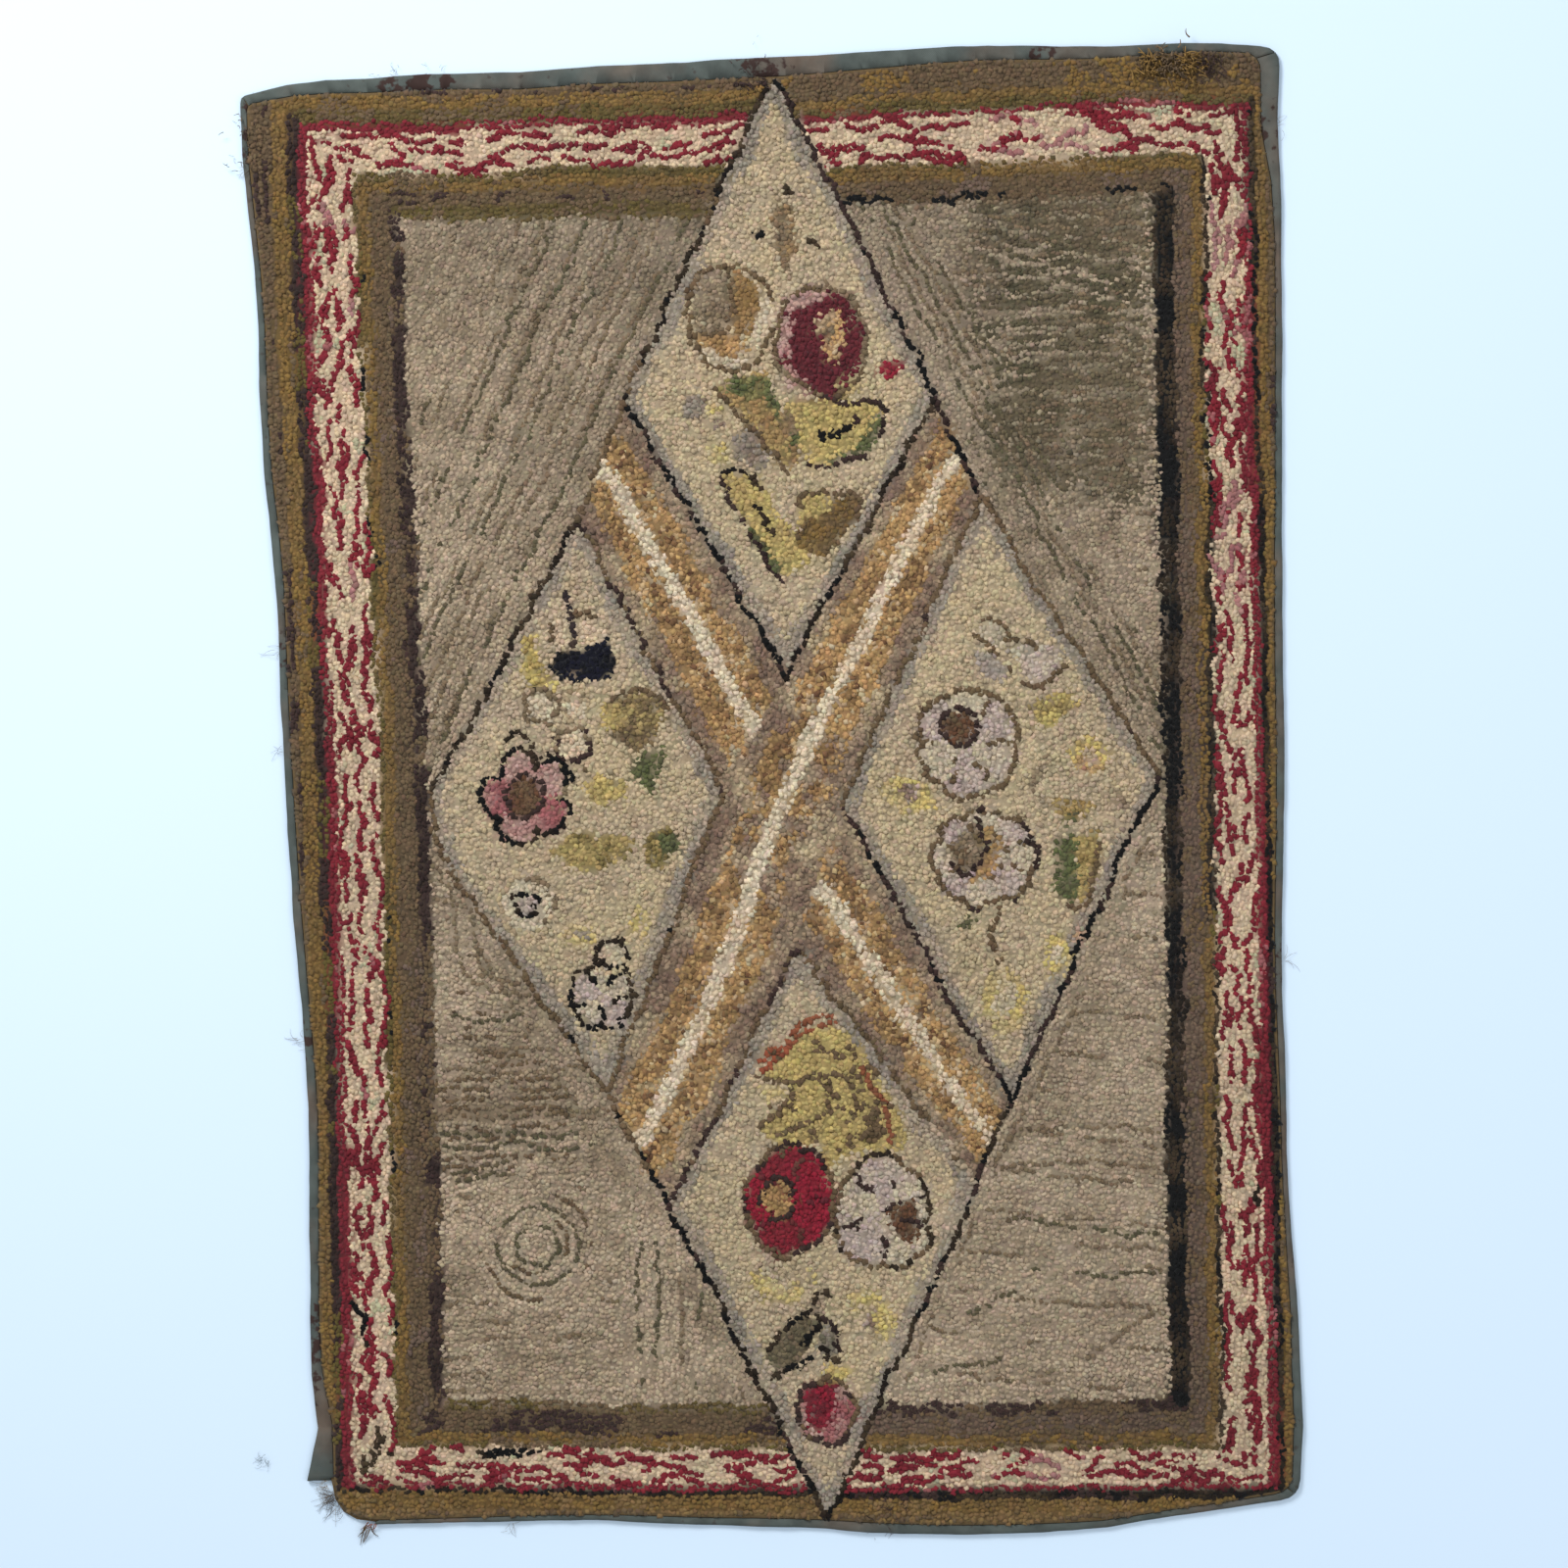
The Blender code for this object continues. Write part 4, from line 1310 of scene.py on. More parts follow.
def paint_yarn(mesh, colour):
    """Gives each corner of a mesh the colour of its yarn."""
    paint = mesh.color_attributes.new("yarn", "BYTE_COLOR", "POINT")
    rgba = np.ones((len(mesh.vertices), 4), np.float32)
    rgba[:, :3] = colour
    paint.data.foreach_set("color", rgba.ravel())


def plan_map(mesh):
    """A map of the piece as seen from above."""
    count = len(mesh.loops)
    vertex = np.empty(count, np.int32)
    mesh.loops.foreach_get("vertex_index", vertex)
    places = np.empty(len(mesh.vertices) * 3, np.float32)
    mesh.vertices.foreach_get("co", places)
    plan = places.reshape(-1, 3)[:, :2]
    low, span = plan.min(0), np.ptp(plan, axis=0).max()
    layer = mesh.uv_layers.new(name="OFBake", do_init=False)
    layer.uv.foreach_set("vector", ((plan - low) / span)[vertex].astype(np.float32).ravel())


# All loops of the rug, once they have been worked out.
PILE = {}
# How large the loops of each kind of part are, and how loosely they lie.
LOOSE_LOOK = {"band": (1.12, 1.0), "border": (1.06, 0.68), "ground": (1.02, 0.7),
              "lozenge": (1.06, 0.9)}
# The size of loops in outlines, and how much higher they stand.
OUTLINE_SIZE = 1.22
OUTLINE_RISE = 0.4
# Half the length and half the width of a loop, and how much both vary.
LOOP_REACH = 2.25
LOOP_ACROSS = 2.2
LOOP_VARIES = (0.8, 1.25)
# How far a usual loop stops short of the pile's top, and how low and high one can be.
TOP_ROOM = 0.6
HEIGHTS = (5.6, 8.4)
# How deep the feet of the loops stand in the foundation.
FOOT_DEPTH = 0.9


def hooked_pile(context):
    """All loops of the rug with their places, shapes and colours, worked out once."""
    if PILE:
        return PILE
    sizes = context.scene.hooked_rug_sizes
    canvas = Canvas(sizes.step / MM, sizes.row / MM)
    hook_outlines(canvas)
    hook_bands(canvas)
    hook_lozenges(canvas)
    hook_border(canvas)
    hook_grounds(canvas)
    canvas.fill_gaps()
    loops = canvas.all_loops()
    random = np.random.default_rng(23)
    count = len(loops["xy"])
    loops["colour"] = yarn_colours(Palette(context.scene.hooked_rug_yarns), loops)
    wild = np.ones(count) * 0.5
    big = np.ones(count)
    for word, (size, loose) in LOOSE_LOOK.items():
        here = np.isin(loops["part"], [i for i, name in enumerate(PARTS) if name.startswith(word)])
        wild[here], big[here] = loose, size
    outline = loops["role"] == OUTLINE
    big[outline] = OUTLINE_SIZE
    loops["centre"] = drift(loops["xy"]) + random.normal(0, 1.0, (count, 2)) * wild[:, None]
    loops["turn"] = loops["turn"] + random.normal(0, 1.0, count) * wild
    loops["reach"] = LOOP_REACH * big * random.uniform(*LOOP_VARIES, count)
    loops["across"] = LOOP_ACROSS * big * random.uniform(*LOOP_VARIES, count)
    worn = 0.35 * smooth_noise(*loops["xy"].T, 90, 55) + 0.35 * smooth_noise(*loops["xy"].T, 12, 56)
    tall = sizes.top / MM - TOP_ROOM + worn + random.normal(0, 0.9, count) * wild
    loops["tall"] = np.where(outline, tall + OUTLINE_RISE, tall).clip(*HEIGHTS)
    loops["lean"] = random.normal(0, 0.5, (count, 2)) * (0.6 + wild[:, None])
    PILE.update(loops)
    print("loops hooked:", count)
    return PILE


# ---------------------------------------------------------------- loose ends


# Loose ends: where a clump starts, which way its ends lie and how far they fan out, in
# degrees, how far the starts scatter, how many there are, how long and thick they are,
# how high they start and what height they lie at.
Clump = namedtuple("Clump", "x y turn fan room count length thick rise yarn lies", defaults=(0.0,))
FRAYED = (
    Clump(-334, -541, 215, 26, 3.0, 46, 15, 0.35, 3.0, "umber"),
    Clump(-331, -547, 235, 34, 3.5, 34, 12, 0.3, 2.5, "dusk"),
    Clump(-338, -532, 190, 22, 3.0, 22, 10, 0.3, 3.0, "burlap"),
    Clump(-387, -512, 245, 30, 2.0, 14, 9, 0.3, 2.0, "tape"),
    Clump(-395, 508, 160, 40, 6.0, 26, 7, 0.35, 4.0, "umber"),
    Clump(-396, 474, 195, 40, 7.0, 24, 7, 0.35, 4.0, "umber"),
    Clump(-290, 541, 80, 50, 6.0, 22, 6, 0.3, 4.0, "dusk"),
    Clump(-258, 542, 100, 60, 7.0, 22, 7, 0.3, 4.0, "dusk"),
    Clump(-8, 546, 90, 60, 14.0, 18, 6, 0.3, 4.0, "dusk"),
    Clump(387, 506, 20, 30, 2.0, 5, 13, 0.3, 3.5, "umber"),
    Clump(-377, 105, 170, 30, 2.0, 5, 13, 0.3, 3.5, "umber"),
    Clump(-375, 30, 200, 30, 2.0, 5, 12, 0.3, 3.5, "dusk"),
    Clump(-357, -192, 175, 30, 3.0, 8, 13, 0.3, 3.5, "umber"),
    Clump(392, -132, 10, 30, 2.0, 5, 12, 0.3, 3.5, "umber"),
    Clump(-198, -563, 275, 30, 2.0, 7, 11, 0.3, 2.5, "umber"),
    Clump(88, -558, 265, 40, 7.0, 24, 6, 0.4, 3.0, "dusk"),
)
LOOSE_YARN = (
    Clump(-309, -563, 262, 14, 1.5, 9, 13, 1.3, 3.5, "umber"),
    Clump(-305, -561, 250, 22, 1.5, 6, 10, 1.1, 3.5, "brick"),
    Clump(288, 549, 40, 90, 5.0, 60, 9, 1.6, 3.5, "gold", 6.0),
    Clump(304, 552, 20, 90, 5.0, 70, 9, 1.7, 4.0, "umber", 6.0),
    Clump(320, 551, 190, 90, 6.0, 60, 9, 1.6, 3.5, "gold", 6.0),
    Clump(334, 550, 80, 90, 5.0, 40, 8, 1.5, 3.0, "dusk", 6.0),
    Clump(-12, 541, 80, 90, 9.0, 40, 6, 1.0, 1.5, "dusk", 5.5),
    Clump(88, -549, 80, 90, 8.0, 30, 5, 1.0, 1.5, "dusk", 5.5),
    Clump(-396, 500, 80, 90, 8.0, 40, 6, 0.8, 1.5, "umber", 4.5),
    Clump(-396, 478, 80, 90, 8.0, 40, 6, 0.8, 1.5, "dusk", 4.5),
)
STRAND_RINGS = 6
STRAND_SIDES = 3


def strand_places(clump, random):
    """The points of the strands of a clump, ring after ring: count x rings x sides x 3."""
    count, share = clump.count, np.linspace(0, 1, STRAND_RINGS)
    turn = np.radians(clump.turn + random.normal(0, clump.fan, count))
    heading = turn[:, None] + random.normal(0, 1.1, count)[:, None] * share
    step = clump.length * random.uniform(0.4, 1.0, count)[:, None] / (STRAND_RINGS - 1)
    start = random.normal(0, clump.room, (count, 2)) + (clump.x, clump.y)
    x = start[:, :1] + np.cumsum(np.cos(heading) * step, axis=1)
    y = start[:, 1:] + np.cumsum(np.sin(heading) * step, axis=1)
    droop = clump.rise * (1 - share) ** 1.5 * random.uniform(0.6, 1.2, count)[:, None]
    z = clump.lies + clump.thick * 0.6 + droop + 0.4 * share * random.uniform(0, 1, count)[:, None]
    radius = clump.thick / 2 * (1 - 0.6 * share)
    angles = np.arange(STRAND_SIDES) * math.tau / STRAND_SIDES
    side = radius[None, :, None] * np.cos(angles)
    up = radius[None, :, None] * np.sin(angles)
    px = x[:, :, None] - np.sin(heading)[:, :, None] * side
    py = y[:, :, None] + np.cos(heading)[:, :, None] * side
    return np.stack((px, py, z[:, :, None] + up), 3)


def strand_mesh(name, clumps, palette, random):
    """Thin closed strands of loose fibre or yarn as one mesh."""
    places = np.concatenate([strand_places(clump, random) for clump in clumps])
    colours = np.concatenate([palette.of(clump.yarn, clump.count) for clump in clumps])
    colours = colours * random.uniform(0.6, 1.5, (len(colours), 1))
    last = (STRAND_RINGS - 1) * STRAND_SIDES
    faces = [(0, 2, 1), (last, last + 1, last + 2)]
    for ring in range(STRAND_RINGS - 1):
        for k in range(STRAND_SIDES):
            a, b = ring * STRAND_SIDES + k, ring * STRAND_SIDES + (k + 1) % STRAND_SIDES
            faces.append((a, b, b + STRAND_SIDES, a + STRAND_SIDES))
    each = STRAND_RINGS * STRAND_SIDES
    all_faces = [[v + each * i for v in face] for i in range(len(places)) for face in faces]
    mesh = bpy.data.meshes.new(name)
    mesh.from_pydata((places.reshape(-1, 3) * MM).tolist(), [], all_faces)
    mesh.shade_smooth()
    paint_yarn(mesh, np.repeat(colours, each, axis=0))
    plan_map(mesh)
    return mesh


# ---------------------------------------------------------------- materials

# Inputs and output of a mix node that hold colours.
MIX_COLOURS = (6, 7)
MIX_RESULT = 2


def socket(group, name, kind, way, value=None):
    made = group.interface.new_socket(name, in_out=way, socket_type=kind)
    if value is not None:
        made.default_value = value
    return made


def add_node(nodes, kind, values=None, operation=None):
    """A node with some of its inputs set, by name or by number."""
    made = nodes.new(kind)
    if operation:
        made.operation = operation
    for slot, value in (values or {}).items():
        made.inputs[slot].default_value = value
    return made


def wool_group():
    """Fibre grain and twist of wool yarn: a shaded colour and a height for the bump."""
    group = bpy.data.node_groups.get("Wool yarn")
    if group:
        return group
    group = bpy.data.node_groups.new("Wool yarn", "ShaderNodeTree")
    socket(group, "Colour", "NodeSocketColor", "INPUT", (0.5, 0.4, 0.3, 1))
    socket(group, "Fibre size", "NodeSocketFloat", "INPUT", 900.0)
    socket(group, "Mottle", "NodeSocketFloat", "INPUT", 0.25)
    socket(group, "Colour", "NodeSocketColor", "OUTPUT")
    socket(group, "Height", "NodeSocketFloat", "OUTPUT")
    socket(group, "Roughness", "NodeSocketFloat", "OUTPUT")
    nodes, links = group.nodes, group.links
    given, out = nodes.new("NodeGroupInput"), nodes.new("NodeGroupOutput")
    place = nodes.new("ShaderNodeTexCoord")
    fine = add_node(nodes, "ShaderNodeTexNoise", {"Detail": 3.0, "Roughness": 0.65})
    links.new(place.outputs["Object"], fine.inputs["Vector"])
    links.new(given.outputs["Fibre size"], fine.inputs["Scale"])
    broad = add_node(nodes, "ShaderNodeTexNoise", {"Scale": 210.0, "Detail": 2.0})
    links.new(place.outputs["Object"], broad.inputs["Vector"])
    both = add_node(nodes, "ShaderNodeMath", {1: 0.6}, "MULTIPLY_ADD")
    links.new(fine.outputs["Fac"], both.inputs[0])
    links.new(broad.outputs["Fac"], both.inputs[2])
    spread = add_node(nodes, "ShaderNodeMapRange",
                      {"From Min": 0.45, "From Max": 1.15, "To Min": -1.0, "To Max": 1.0})
    links.new(both.outputs[0], spread.inputs["Value"])
    depth = add_node(nodes, "ShaderNodeMath", operation="MULTIPLY")
    links.new(spread.outputs[0], depth.inputs[0])
    links.new(given.outputs["Mottle"], depth.inputs[1])
    value = add_node(nodes, "ShaderNodeMath", {1: 1.0}, "ADD")
    links.new(depth.outputs[0], value.inputs[0])
    tone = nodes.new("ShaderNodeHueSaturation")
    links.new(given.outputs["Colour"], tone.inputs["Color"])
    links.new(value.outputs[0], tone.inputs["Value"])
    links.new(tone.outputs["Color"], out.inputs["Colour"])
    links.new(fine.outputs["Fac"], out.inputs["Height"])
    rough = add_node(nodes, "ShaderNodeMapRange", {"To Min": 0.82, "To Max": 1.0})
    links.new(broad.outputs["Fac"], rough.inputs["Value"])
    links.new(rough.outputs[0], out.inputs["Roughness"])
    return group


def wool_material(name, fibre, mottle, bump, sheen):
    """Wool that takes its colour from the yarn of each loop."""
    material = bpy.data.materials.new(name)
    material.use_nodes = True
    nodes, links = material.node_tree.nodes, material.node_tree.links
    shader = nodes["Principled BSDF"]
    yarn = nodes.new("ShaderNodeVertexColor")
    yarn.layer_name = "yarn"
    wool = nodes.new("ShaderNodeGroup")
    wool.node_tree = wool_group()
    wool.inputs["Fibre size"].default_value = fibre
    wool.inputs["Mottle"].default_value = mottle
    links.new(yarn.outputs["Color"], wool.inputs["Colour"])
    links.new(wool.outputs["Colour"], shader.inputs["Base Color"])
    links.new(wool.outputs["Roughness"], shader.inputs["Roughness"])
    relief = add_node(nodes, "ShaderNodeBump", {"Strength": bump, "Distance": 0.4 * MM})
    links.new(wool.outputs["Height"], relief.inputs["Height"])
    links.new(relief.outputs["Normal"], shader.inputs["Normal"])
    shader.inputs["Specular IOR Level"].default_value = 0.15
    shader.inputs["Sheen Weight"].default_value = sheen
    shader.inputs["Sheen Roughness"].default_value = 0.6
    return material


def tape_material(context):
    """Twill tape: slanted ribs, uneven fading, brown stains and worn patches."""
    yarns = context.scene.hooked_rug_yarns
    material = bpy.data.materials.new("Cotton tape")
    material.use_nodes = True
    nodes, links = material.node_tree.nodes, material.node_tree.links
    shader = nodes["Principled BSDF"]
    place = nodes.new("ShaderNodeTexCoord")
    strip = nodes.new("ShaderNodeUVMap")
    strip.uv_map = "along_tape"
    ribs = add_node(nodes, "ShaderNodeTexWave", {"Scale": 480.0, "Distortion": 0.8})
    ribs.bands_direction = "DIAGONAL"
    links.new(strip.outputs["UV"], ribs.inputs["Vector"])

    def noise(scale, low, high):
        made = add_node(nodes, "ShaderNodeTexNoise", {"Scale": scale, "Detail": 4.0})
        links.new(place.outputs["Object"], made.inputs["Vector"])
        spread = add_node(nodes, "ShaderNodeMapRange",
                          {"From Min": 0.3, "From Max": 0.7, "To Min": low, "To Max": high})
        links.new(made.outputs["Fac"], spread.inputs["Value"])
        return spread.outputs[0]

    def mixed(first, second, share):
        mix = nodes.new("ShaderNodeMix")
        mix.data_type = "RGBA"
        for value, slot in zip((first, second), MIX_COLOURS):
            if isinstance(value, tuple):
                mix.inputs[slot].default_value = value
            else:
                links.new(value, mix.inputs[slot])
        links.new(share, mix.inputs[0])
        return mix.outputs[MIX_RESULT]

    def math_node(operation, first, second):
        made = nodes.new("ShaderNodeMath")
        made.operation = operation
        for value, slot in ((first, 0), (second, 1)):
            if isinstance(value, float):
                made.inputs[slot].default_value = value
            else:
                links.new(value, made.inputs[slot])
        return made.outputs[0]

    stain = mixed((*yarns.tape, 1), (*yarns.slate, 1), noise(14.0, -0.5, 0.75))
    worn = nodes.new("ShaderNodeAttribute")
    worn.attribute_name = "worn"
    torn = math_node("ADD", worn.outputs["Fac"], noise(130.0, -0.75, 0.35))
    bare = add_node(nodes, "ShaderNodeMapRange", {"From Min": 0.25, "From Max": 0.45})
    links.new(torn, bare.inputs["Value"])
    patched = mixed(stain, (*yarns.dusk, 1), bare.outputs[0])
    rib_tone = math_node("ADD", math_node("MULTIPLY", ribs.outputs["Fac"], 0.3), 0.85)
    tone = nodes.new("ShaderNodeHueSaturation")
    value = math_node("MULTIPLY", rib_tone, noise(70.0, 0.8, 1.2))
    links.new(value, tone.inputs["Value"])
    links.new(patched, tone.inputs["Color"])
    links.new(tone.outputs["Color"], shader.inputs["Base Color"])
    relief = add_node(nodes, "ShaderNodeBump", {"Strength": 0.5, "Distance": 0.2 * MM})
    links.new(ribs.outputs["Fac"], relief.inputs["Height"])
    links.new(relief.outputs["Normal"], shader.inputs["Normal"])
    links.new(noise(90.0, 0.75, 0.95), shader.inputs["Roughness"])
    shader.inputs["Specular IOR Level"].default_value = 0.2
    return material


# ---------------------------------------------------------------- shared by the pieces

# The tape's cross cuts, in metres.
TAPE_CUT = 5.0 * MM
# Above this height is the tape's face, and this far past the pile's rim is its edge.
TAPE_FACE = 2.5
TAPE_EDGE = 4.0
# Where a tape is worn through to purple-brown: the middle, half length and depth of each.
Worn = namedtuple("Worn", "side along reach depth")
WORN = (
    Worn("top", -291, 11, 0.9),
    Worn("top", -270, 17, 1.0),
    Worn("top", -250, 9, 0.8),
    Worn("top", -8, 34, 0.55),
    Worn("top", 212, 26, 0.5),
    Worn("left", 495, 40, 0.6),
    Worn("left", 110, 22, 0.55),
    Worn("left", -190, 30, 0.5),
    Worn("left", -420, 60, 0.5),
    Worn("right", 500, 30, 0.5),
    Worn("right", -130, 30, 0.45),
)
# The foundation's cross cuts, in metres, and where the pile's wall starts. The crown over
# it is flattened to this share of its height.
FOUNDATION_CUT = 10.0 * MM
WALL_FOOT = 3.0 * MM
CROWN_SHARE = 0.3
# How much the yarn between the loops is darkened, as painted shade for the gaps between
# them, where the back ends, how its colours change, and how much the bare margin is darkened,
# partly a browner burlap and partly painted shade where the pile meets the tape.
FOOT_SHADE = 0.7
BACK_HEIGHT = 1.0
BACK_SHADE = 1.1
BACK_BURLAP = 0.12
MARGIN_SHADE = 0.4
MERGE_DISTANCE = 0.01 * MM


def merged_copy(node):
    """A copy of a solid from the frame with its double corners merged."""
    shape = bmesh.new()
    shape.from_mesh(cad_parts[node].data)
    bmesh.ops.remove_doubles(shape, verts=shape.verts[:], dist=MERGE_DISTANCE)
    return shape


def cut_across(shape, axis, places):
    """Adds edges round a shape wherever it meets these planes across an axis."""
    for place in places:
        where = [0.0, 0.0, 0.0]
        where[axis] = place
        bmesh.ops.bisect_plane(
            shape, geom=shape.verts[:] + shape.edges[:] + shape.faces[:],
            plane_co=where, plane_no=(axis == 0, axis == 1, 0), dist=MERGE_DISTANCE)


def mesh_from(shape, name):
    mesh = bpy.data.meshes.new(name)
    shape.to_mesh(mesh)
    shape.free()
    return mesh


def add_object(name, data):
    made = bpy.data.objects.new(name, data)
    bpy.context.scene.collection.objects.link(made)
    return made


def add_piece(name, mesh, material):
    piece = add_object(name, mesh)
    mesh.materials.clear()
    mesh.materials.append(material)
    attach(piece, "root")
    return piece


def pile_piece(context, name, mask, material):
    """The loops under a mask as one piece."""
    chosen = {key: values[mask] for key, values in hooked_pile(context).items()}
    foot = context.scene.hooked_rug_sizes.floor_cover / MM - FOOT_DEPTH
    return add_piece(name, joined_loops(name, chosen, foot), material)


def filled(loops, part):
    """Which loops fill a part of the rug, outlines left out."""
    return (loops["part"] == PART[part]) & (loops["role"] != OUTLINE)


def fill_parts(context, kind, names, wool):
    """One piece for each part of a kind."""
    loops = hooked_pile(context)
    for name in names:
        pile_piece(context, "pile_" + kind + name, filled(loops, kind + name), wool)


# ---------------------------------------------------------------- stage

FLOOR_SIZE = 6.0
FLOOR_DROP = 0.3 * MM
FLOOR_COLOUR = (0.64, 0.77, 0.90, 1)
SKY_COLOUR = (0.86, 0.93, 1.0, 1)
SKY_STRENGTH = 0.55
Lamp = namedtuple("Lamp", "name place size power")
LAMPS = (
    Lamp("key", (-1.5, 1.9, 2.0), 1.0, 82.0),
    Lamp("fill", (1.8, -0.6, 2.6), 2.4, 30.0),
)
# The camera looks straight down on this place and sees this width, in metres.
VIEW_MIDDLE = (0.0095, 0.0035, 0.0)
VIEW_WIDTH = 1.2
LENS = 85.0


# ---------------------------------------------------------------- operators


class RUG_OT_border(bpy.types.Operator):
    """Hook the four sides of the striped border"""

    bl_idname = "hooked_rug.border"
    bl_label = "Border Pile"

    def execute(self, context):
        wool = wool_material("Border wool", 900.0, 0.22, 0.5, 0.06)
        fill_parts(context, "border_", SIDES, wool)
        return {"FINISHED"}


class RUG_OT_grounds(bpy.types.Operator):
    """Hook the four corners of the ground"""

    bl_idname = "hooked_rug.grounds"
    bl_label = "Ground Pile"

    def execute(self, context):
        wool = wool_material("Ground wool", 800.0, 0.25, 0.5, 0.08)
        fill_parts(context, "ground_", GROUNDS, wool)
        return {"FINISHED"}


class RUG_OT_lozenges(bpy.types.Operator):
    """Hook the four lozenges with their flowers"""

    bl_idname = "hooked_rug.lozenges"
    bl_label = "Lozenge Pile"

    def execute(self, context):
        loops = hooked_pile(context)
        wool = wool_material("Lozenge wool", 1000.0, 0.2, 0.45, 0.08)
        flowers = wool_material("Flower wool", 1000.0, 0.22, 0.5, 0.06)
        for name in LOZENGES:
            here = filled(loops, "lozenge_" + name)
            petals = here & (loops["role"] == PETAL)
            pile_piece(context, "pile_lozenge_" + name, here & ~petals, wool)
            pile_piece(context, "pile_flowers_" + name, petals, flowers)
        return {"FINISHED"}


class RUG_OT_bands(bpy.types.Operator):
    """Hook the two bands that cross in the middle"""

    bl_idname = "hooked_rug.bands"
    bl_label = "Band Pile"

    def execute(self, context):
        wool = wool_material("Band wool", 700.0, 0.28, 0.6, 0.08)
        fill_parts(context, "band_", BANDS, wool)
        return {"FINISHED"}


class RUG_OT_outlines(bpy.types.Operator):
    """Hook the outlines, the lines of the motifs and the strokes of the border"""

    bl_idname = "hooked_rug.outlines"
    bl_label = "Outlines"

    def execute(self, context):
        loops = hooked_pile(context)
        wool = wool_material("Outline wool", 900.0, 0.2, 0.5, 0.03)
        pile_piece(context, "pile_outlines", loops["role"] == OUTLINE, wool)
        return {"FINISHED"}


class RUG_OT_foundation(bpy.types.Operator):
    """Make the foundation under the pile"""

    bl_idname = "hooked_rug.foundation"
    bl_label = "Foundation"

    def execute(self, context):
        sizes = context.scene.hooked_rug_sizes
        shape = merged_copy("hooked_ground")
        for vert in shape.verts:
            if vert.co.z > WALL_FOOT:
                vert.co.z = sizes.floor_cover - (sizes.top - vert.co.z) * CROWN_SHARE
        low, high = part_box("hooked_ground")
        for axis in (0, 1):
            first, last = low[axis] + FOUNDATION_CUT, high[axis] - FOUNDATION_CUT / 2
            cut_across(shape, axis, np.arange(first, last, FOUNDATION_CUT))
        mesh = mesh_from(shape, "foundation")
        mesh.shade_smooth()
        self.paint(context, mesh)
        wool = wool_material("Foundation wool", 600.0, 0.3, 0.6, 0.1)
        piece = add_piece("foundation", mesh, wool)
        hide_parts("hooked_ground")
        return {"FINISHED"}

    def paint(self, context, mesh):
        """The loops' feet take the yarn's colour with painted shade, the bare margin darkened
        burlap.
        """
        places = np.array([v.co for v in mesh.vertices]) / MM
        palette = Palette(context.scene.hooked_rug_yarns)
        part = parts_at(places[:, :2])
        count = len(places)
        loops = {
            "xy": places[:, :2], "part": part.clip(0), "row": np.zeros(count, int),
            "role": np.full(count, FILL), "yarn": np.full(count, "", dtype=object),
        }
        burlap = palette.colours[palette.index["burlap"]]
        # Painted shade: the yarn between the loops is darkened as if in the shadow of the loops.
        colour = yarn_colours(palette, loops) * FOOT_SHADE
        back = places[:, 2] < BACK_HEIGHT
        colour[back] = BACK_SHADE * colour[back] + BACK_BURLAP * burlap
        # The bare margin: burlap darkened, partly to a browner cloth and partly as painted shade
        # where the pile meets the tape.
        colour[part < 0] = burlap * MARGIN_SHADE
        paint_yarn(mesh, colour)


class RUG_OT_binding(bpy.types.Operator):
    """Make the four lengths of binding tape"""

    bl_idname = "hooked_rug.binding"
    bl_label = "Tape Binding"

    def execute(self, context):
        cloth = tape_material(context)
        for side in SIDES:
            shape = merged_copy("binding_" + side)
            low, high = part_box("binding_" + side)
            axis = 1 - ACROSS[side]
            cut_across(shape, axis, np.arange(low[axis] + TAPE_CUT, high[axis], TAPE_CUT))
            mesh = mesh_from(shape, "tape_" + side)
            self.pucker(mesh, side)
            mesh.shade_smooth()
            piece = add_piece("tape_" + side, mesh, cloth)
            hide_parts("binding_" + side)
        low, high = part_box("hooked_ground")
        return {"FINISHED"}

    def pucker(self, mesh, side):
        """Small puckers where the tape was sewn, its own map, and where it is worn."""
        places = np.array([v.co for v in mesh.vertices]) / MM
        along, across = places[:, 1 - ACROSS[side]], places[:, ACROSS[side]]
        out = -rim_room(places, side)
        seed = 70 + SIDES.index(side)
        creases = smooth_noise(along, across * 0.5, 7, seed)
        swell = smooth_noise(along, across * 0, 34, seed + 5)
        face = places[:, 2] > TAPE_FACE
        places[face, 2] += (0.32 * creases + 0.2 * swell)[face] - 0.1
        edge = out > TAPE_EDGE
        sway = 0.45 * swell + 0.2 * smooth_noise(along, across * 0, 11, seed + 9)
        places[edge, ACROSS[side]] += OUTWARD[side] * sway[edge] - 0.2 * OUTWARD[side]
        mesh.vertices.foreach_set("co", (places * MM).astype(np.float32).ravel())
        worn = np.zeros(len(places))
        for wear in WORN:
            if wear.side == side:
                near = 1 - np.abs(along - wear.along) / wear.reach
                worn = np.maximum(worn, near * wear.depth)
        layer = mesh.attributes.new("worn", "FLOAT", "POINT")
        layer.data.foreach_set("value", worn.clip(0, 1).astype(np.float32))
        vertex = np.empty(len(mesh.loops), np.int32)
        mesh.loops.foreach_get("vertex_index", vertex)
        layer = mesh.uv_layers.new(name="along_tape", do_init=False)
        flat = np.stack((along, out - 0.8 * places[:, 2]), 1) * MM
        layer.uv.foreach_set("vector", flat[vertex].astype(np.float32).ravel())


class RUG_OT_loose_ends(bpy.types.Operator):
    """Make the frayed fibres and the loose ends of yarn along the edges"""

    bl_idname = "hooked_rug.loose_ends"
    bl_label = "Loose Ends"

    def execute(self, context):
        random = np.random.default_rng(37)
        palette = Palette(context.scene.hooked_rug_yarns)
        wool = wool_material("Loose wool", 1200.0, 0.3, 0.4, 0.05)
        for name, clumps in (("frayed_fibres", FRAYED), ("loose_yarn", LOOSE_YARN)):
            add_piece(name, strand_mesh(name, clumps, palette, random), wool)
        return {"FINISHED"}


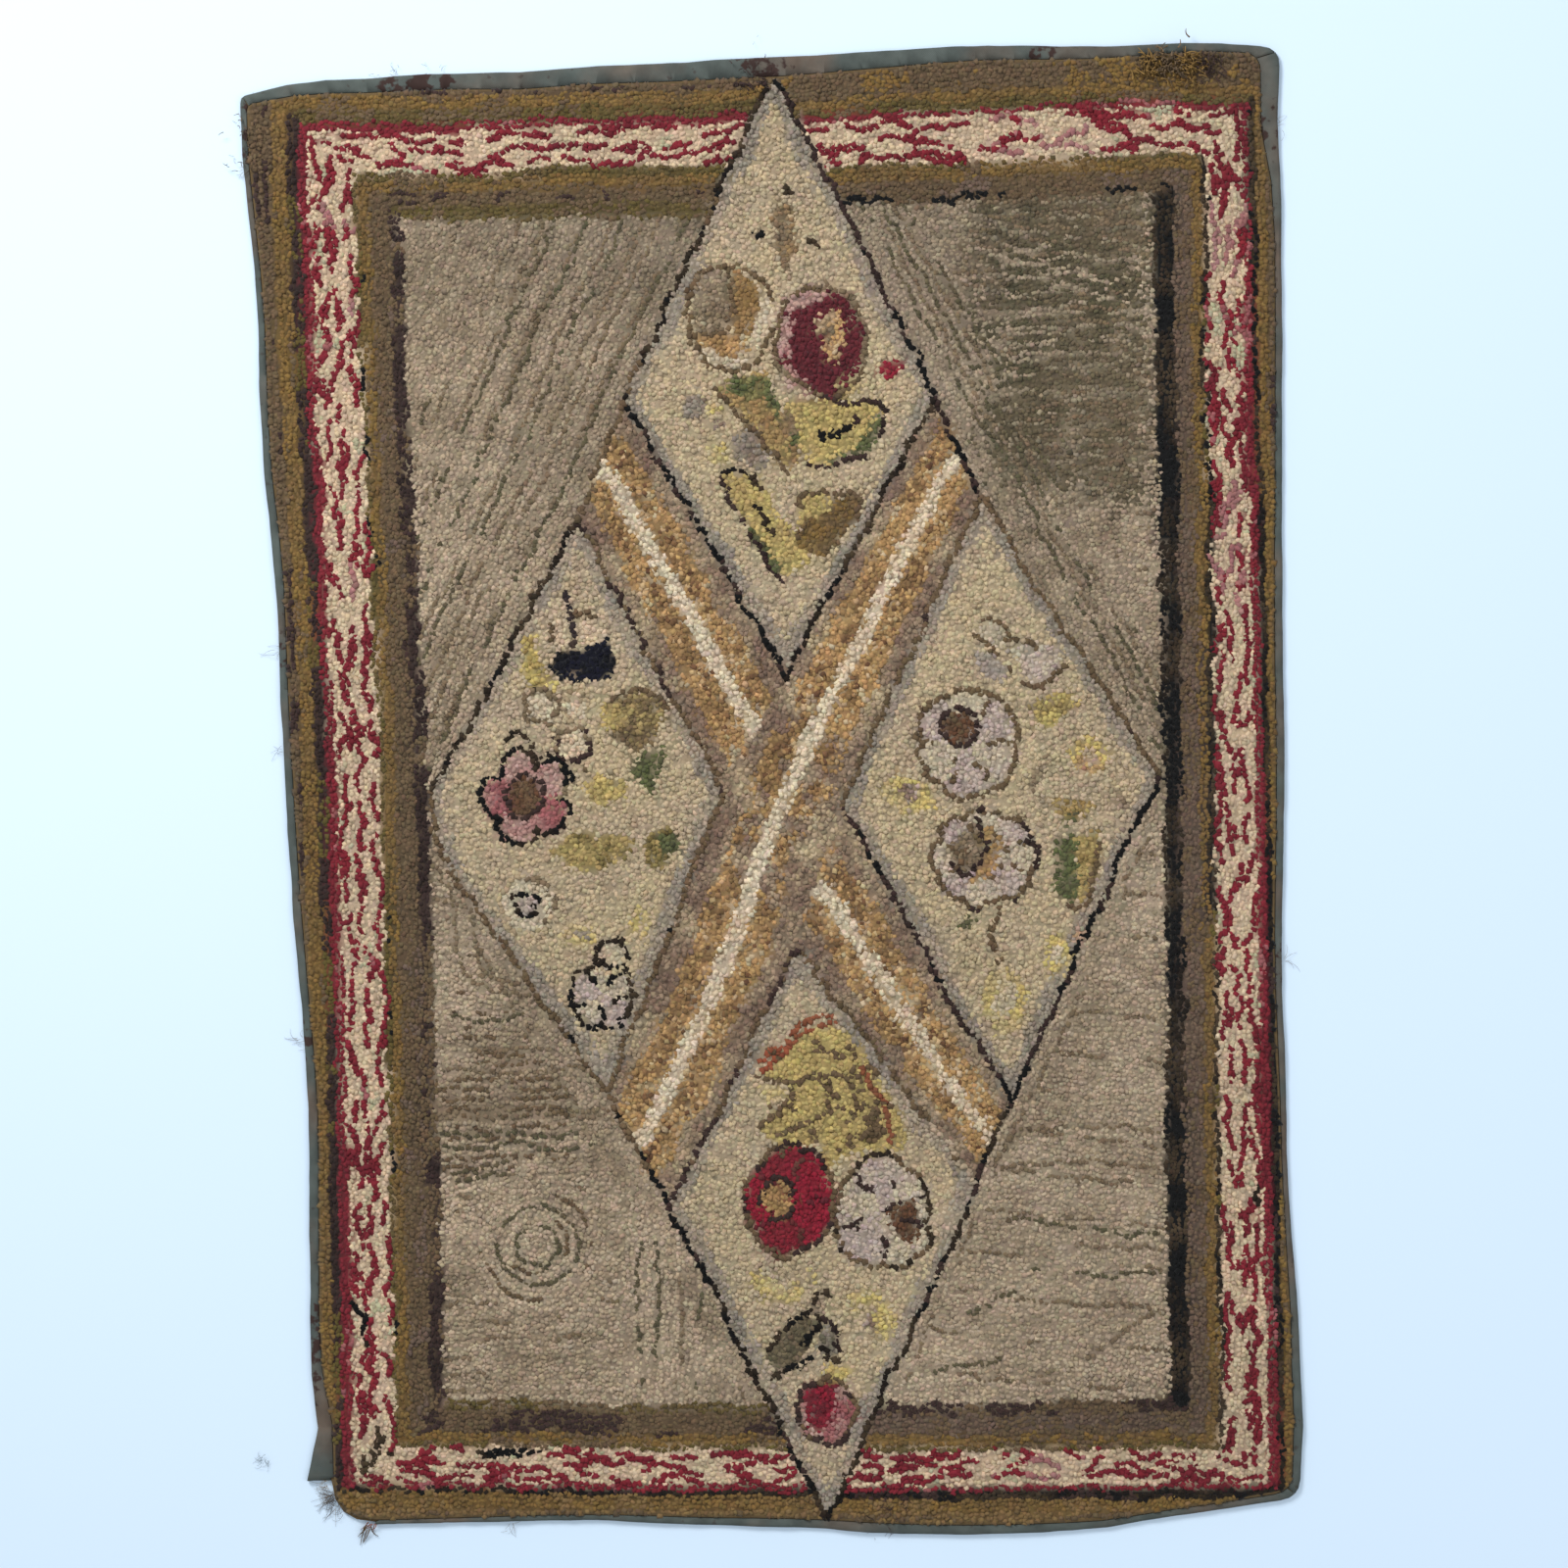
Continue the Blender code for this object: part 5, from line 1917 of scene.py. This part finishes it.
class RUG_OT_stage(bpy.types.Operator):
    """Set up the floor, the lights and the camera"""

    bl_idname = "hooked_rug.stage"
    bl_label = "Stage"

    def execute(self, context):
        shape = bmesh.new()
        bmesh.ops.create_grid(shape, x_segments=1, y_segments=1, size=FLOOR_SIZE)
        mesh = mesh_from(shape, "floor")
        floor = add_object("floor", mesh)
        floor.location.z = -FLOOR_DROP
        paper = bpy.data.materials.new("Pale floor")
        paper.use_nodes = True
        shader = paper.node_tree.nodes["Principled BSDF"]
        shader.inputs["Base Color"].default_value = FLOOR_COLOUR
        shader.inputs["Roughness"].default_value = 0.9
        mesh.materials.append(paper)
        for lamp in LAMPS:
            data = bpy.data.lights.new(lamp.name, "AREA")
            data.size = lamp.size
            data.energy = lamp.power
            light = add_object(lamp.name, data)
            light.location = lamp.place
            light.rotation_euler = (-Vector(lamp.place)).to_track_quat("-Z", "Y").to_euler()
        world = bpy.data.worlds.new("Soft room")
        world.use_nodes = True
        sky = world.node_tree.nodes["Background"]
        sky.inputs["Color"].default_value = SKY_COLOUR
        sky.inputs["Strength"].default_value = SKY_STRENGTH
        context.scene.world = world
        context.scene.view_settings.view_transform = "Standard"
        data = bpy.data.cameras.new("camera")
        data.lens = LENS
        camera = add_object("camera", data)
        height = VIEW_WIDTH * data.lens / data.sensor_width
        camera.location = Vector(VIEW_MIDDLE) + Vector((0, 0, height))
        context.scene.camera = camera
        return {"FINISHED"}


class RUG_PT_panel(bpy.types.Panel):
    """Lists the pieces of the rug in the sidebar"""

    bl_label = "Hooked Rug"
    bl_idname = "RUG_PT_panel"
    bl_space_type = "VIEW_3D"
    bl_region_type = "UI"
    bl_category = "Hooked Rug"

    def draw(self, context):
        for operator in OPERATORS:
            self.layout.operator(operator.bl_idname)
        for settings in (context.scene.hooked_rug_sizes, context.scene.hooked_rug_yarns):
            for name in settings.__annotations__:
                self.layout.prop(settings, name)


OPERATORS = (
    RUG_OT_foundation,
    RUG_OT_outlines,
    RUG_OT_bands,
    RUG_OT_lozenges,
    RUG_OT_grounds,
    RUG_OT_border,
    RUG_OT_binding,
    RUG_OT_loose_ends,
    RUG_OT_stage,
)
CLASSES = (HookedRugYarns, HookedRugSizes, *OPERATORS, RUG_PT_panel)


def register():
    for cls in CLASSES:
        bpy.utils.register_class(cls)
    bpy.types.Scene.hooked_rug_yarns = bpy.props.PointerProperty(type=HookedRugYarns)
    bpy.types.Scene.hooked_rug_sizes = bpy.props.PointerProperty(type=HookedRugSizes)


def unregister():
    del bpy.types.Scene.hooked_rug_sizes
    del bpy.types.Scene.hooked_rug_yarns
    for cls in reversed(CLASSES):
        bpy.utils.unregister_class(cls)


def main():
    register()
    for operator in OPERATORS:
        group, name = operator.bl_idname.split(".")
        getattr(getattr(bpy.ops, group), name)()


if __name__ == "__main__":
    main()
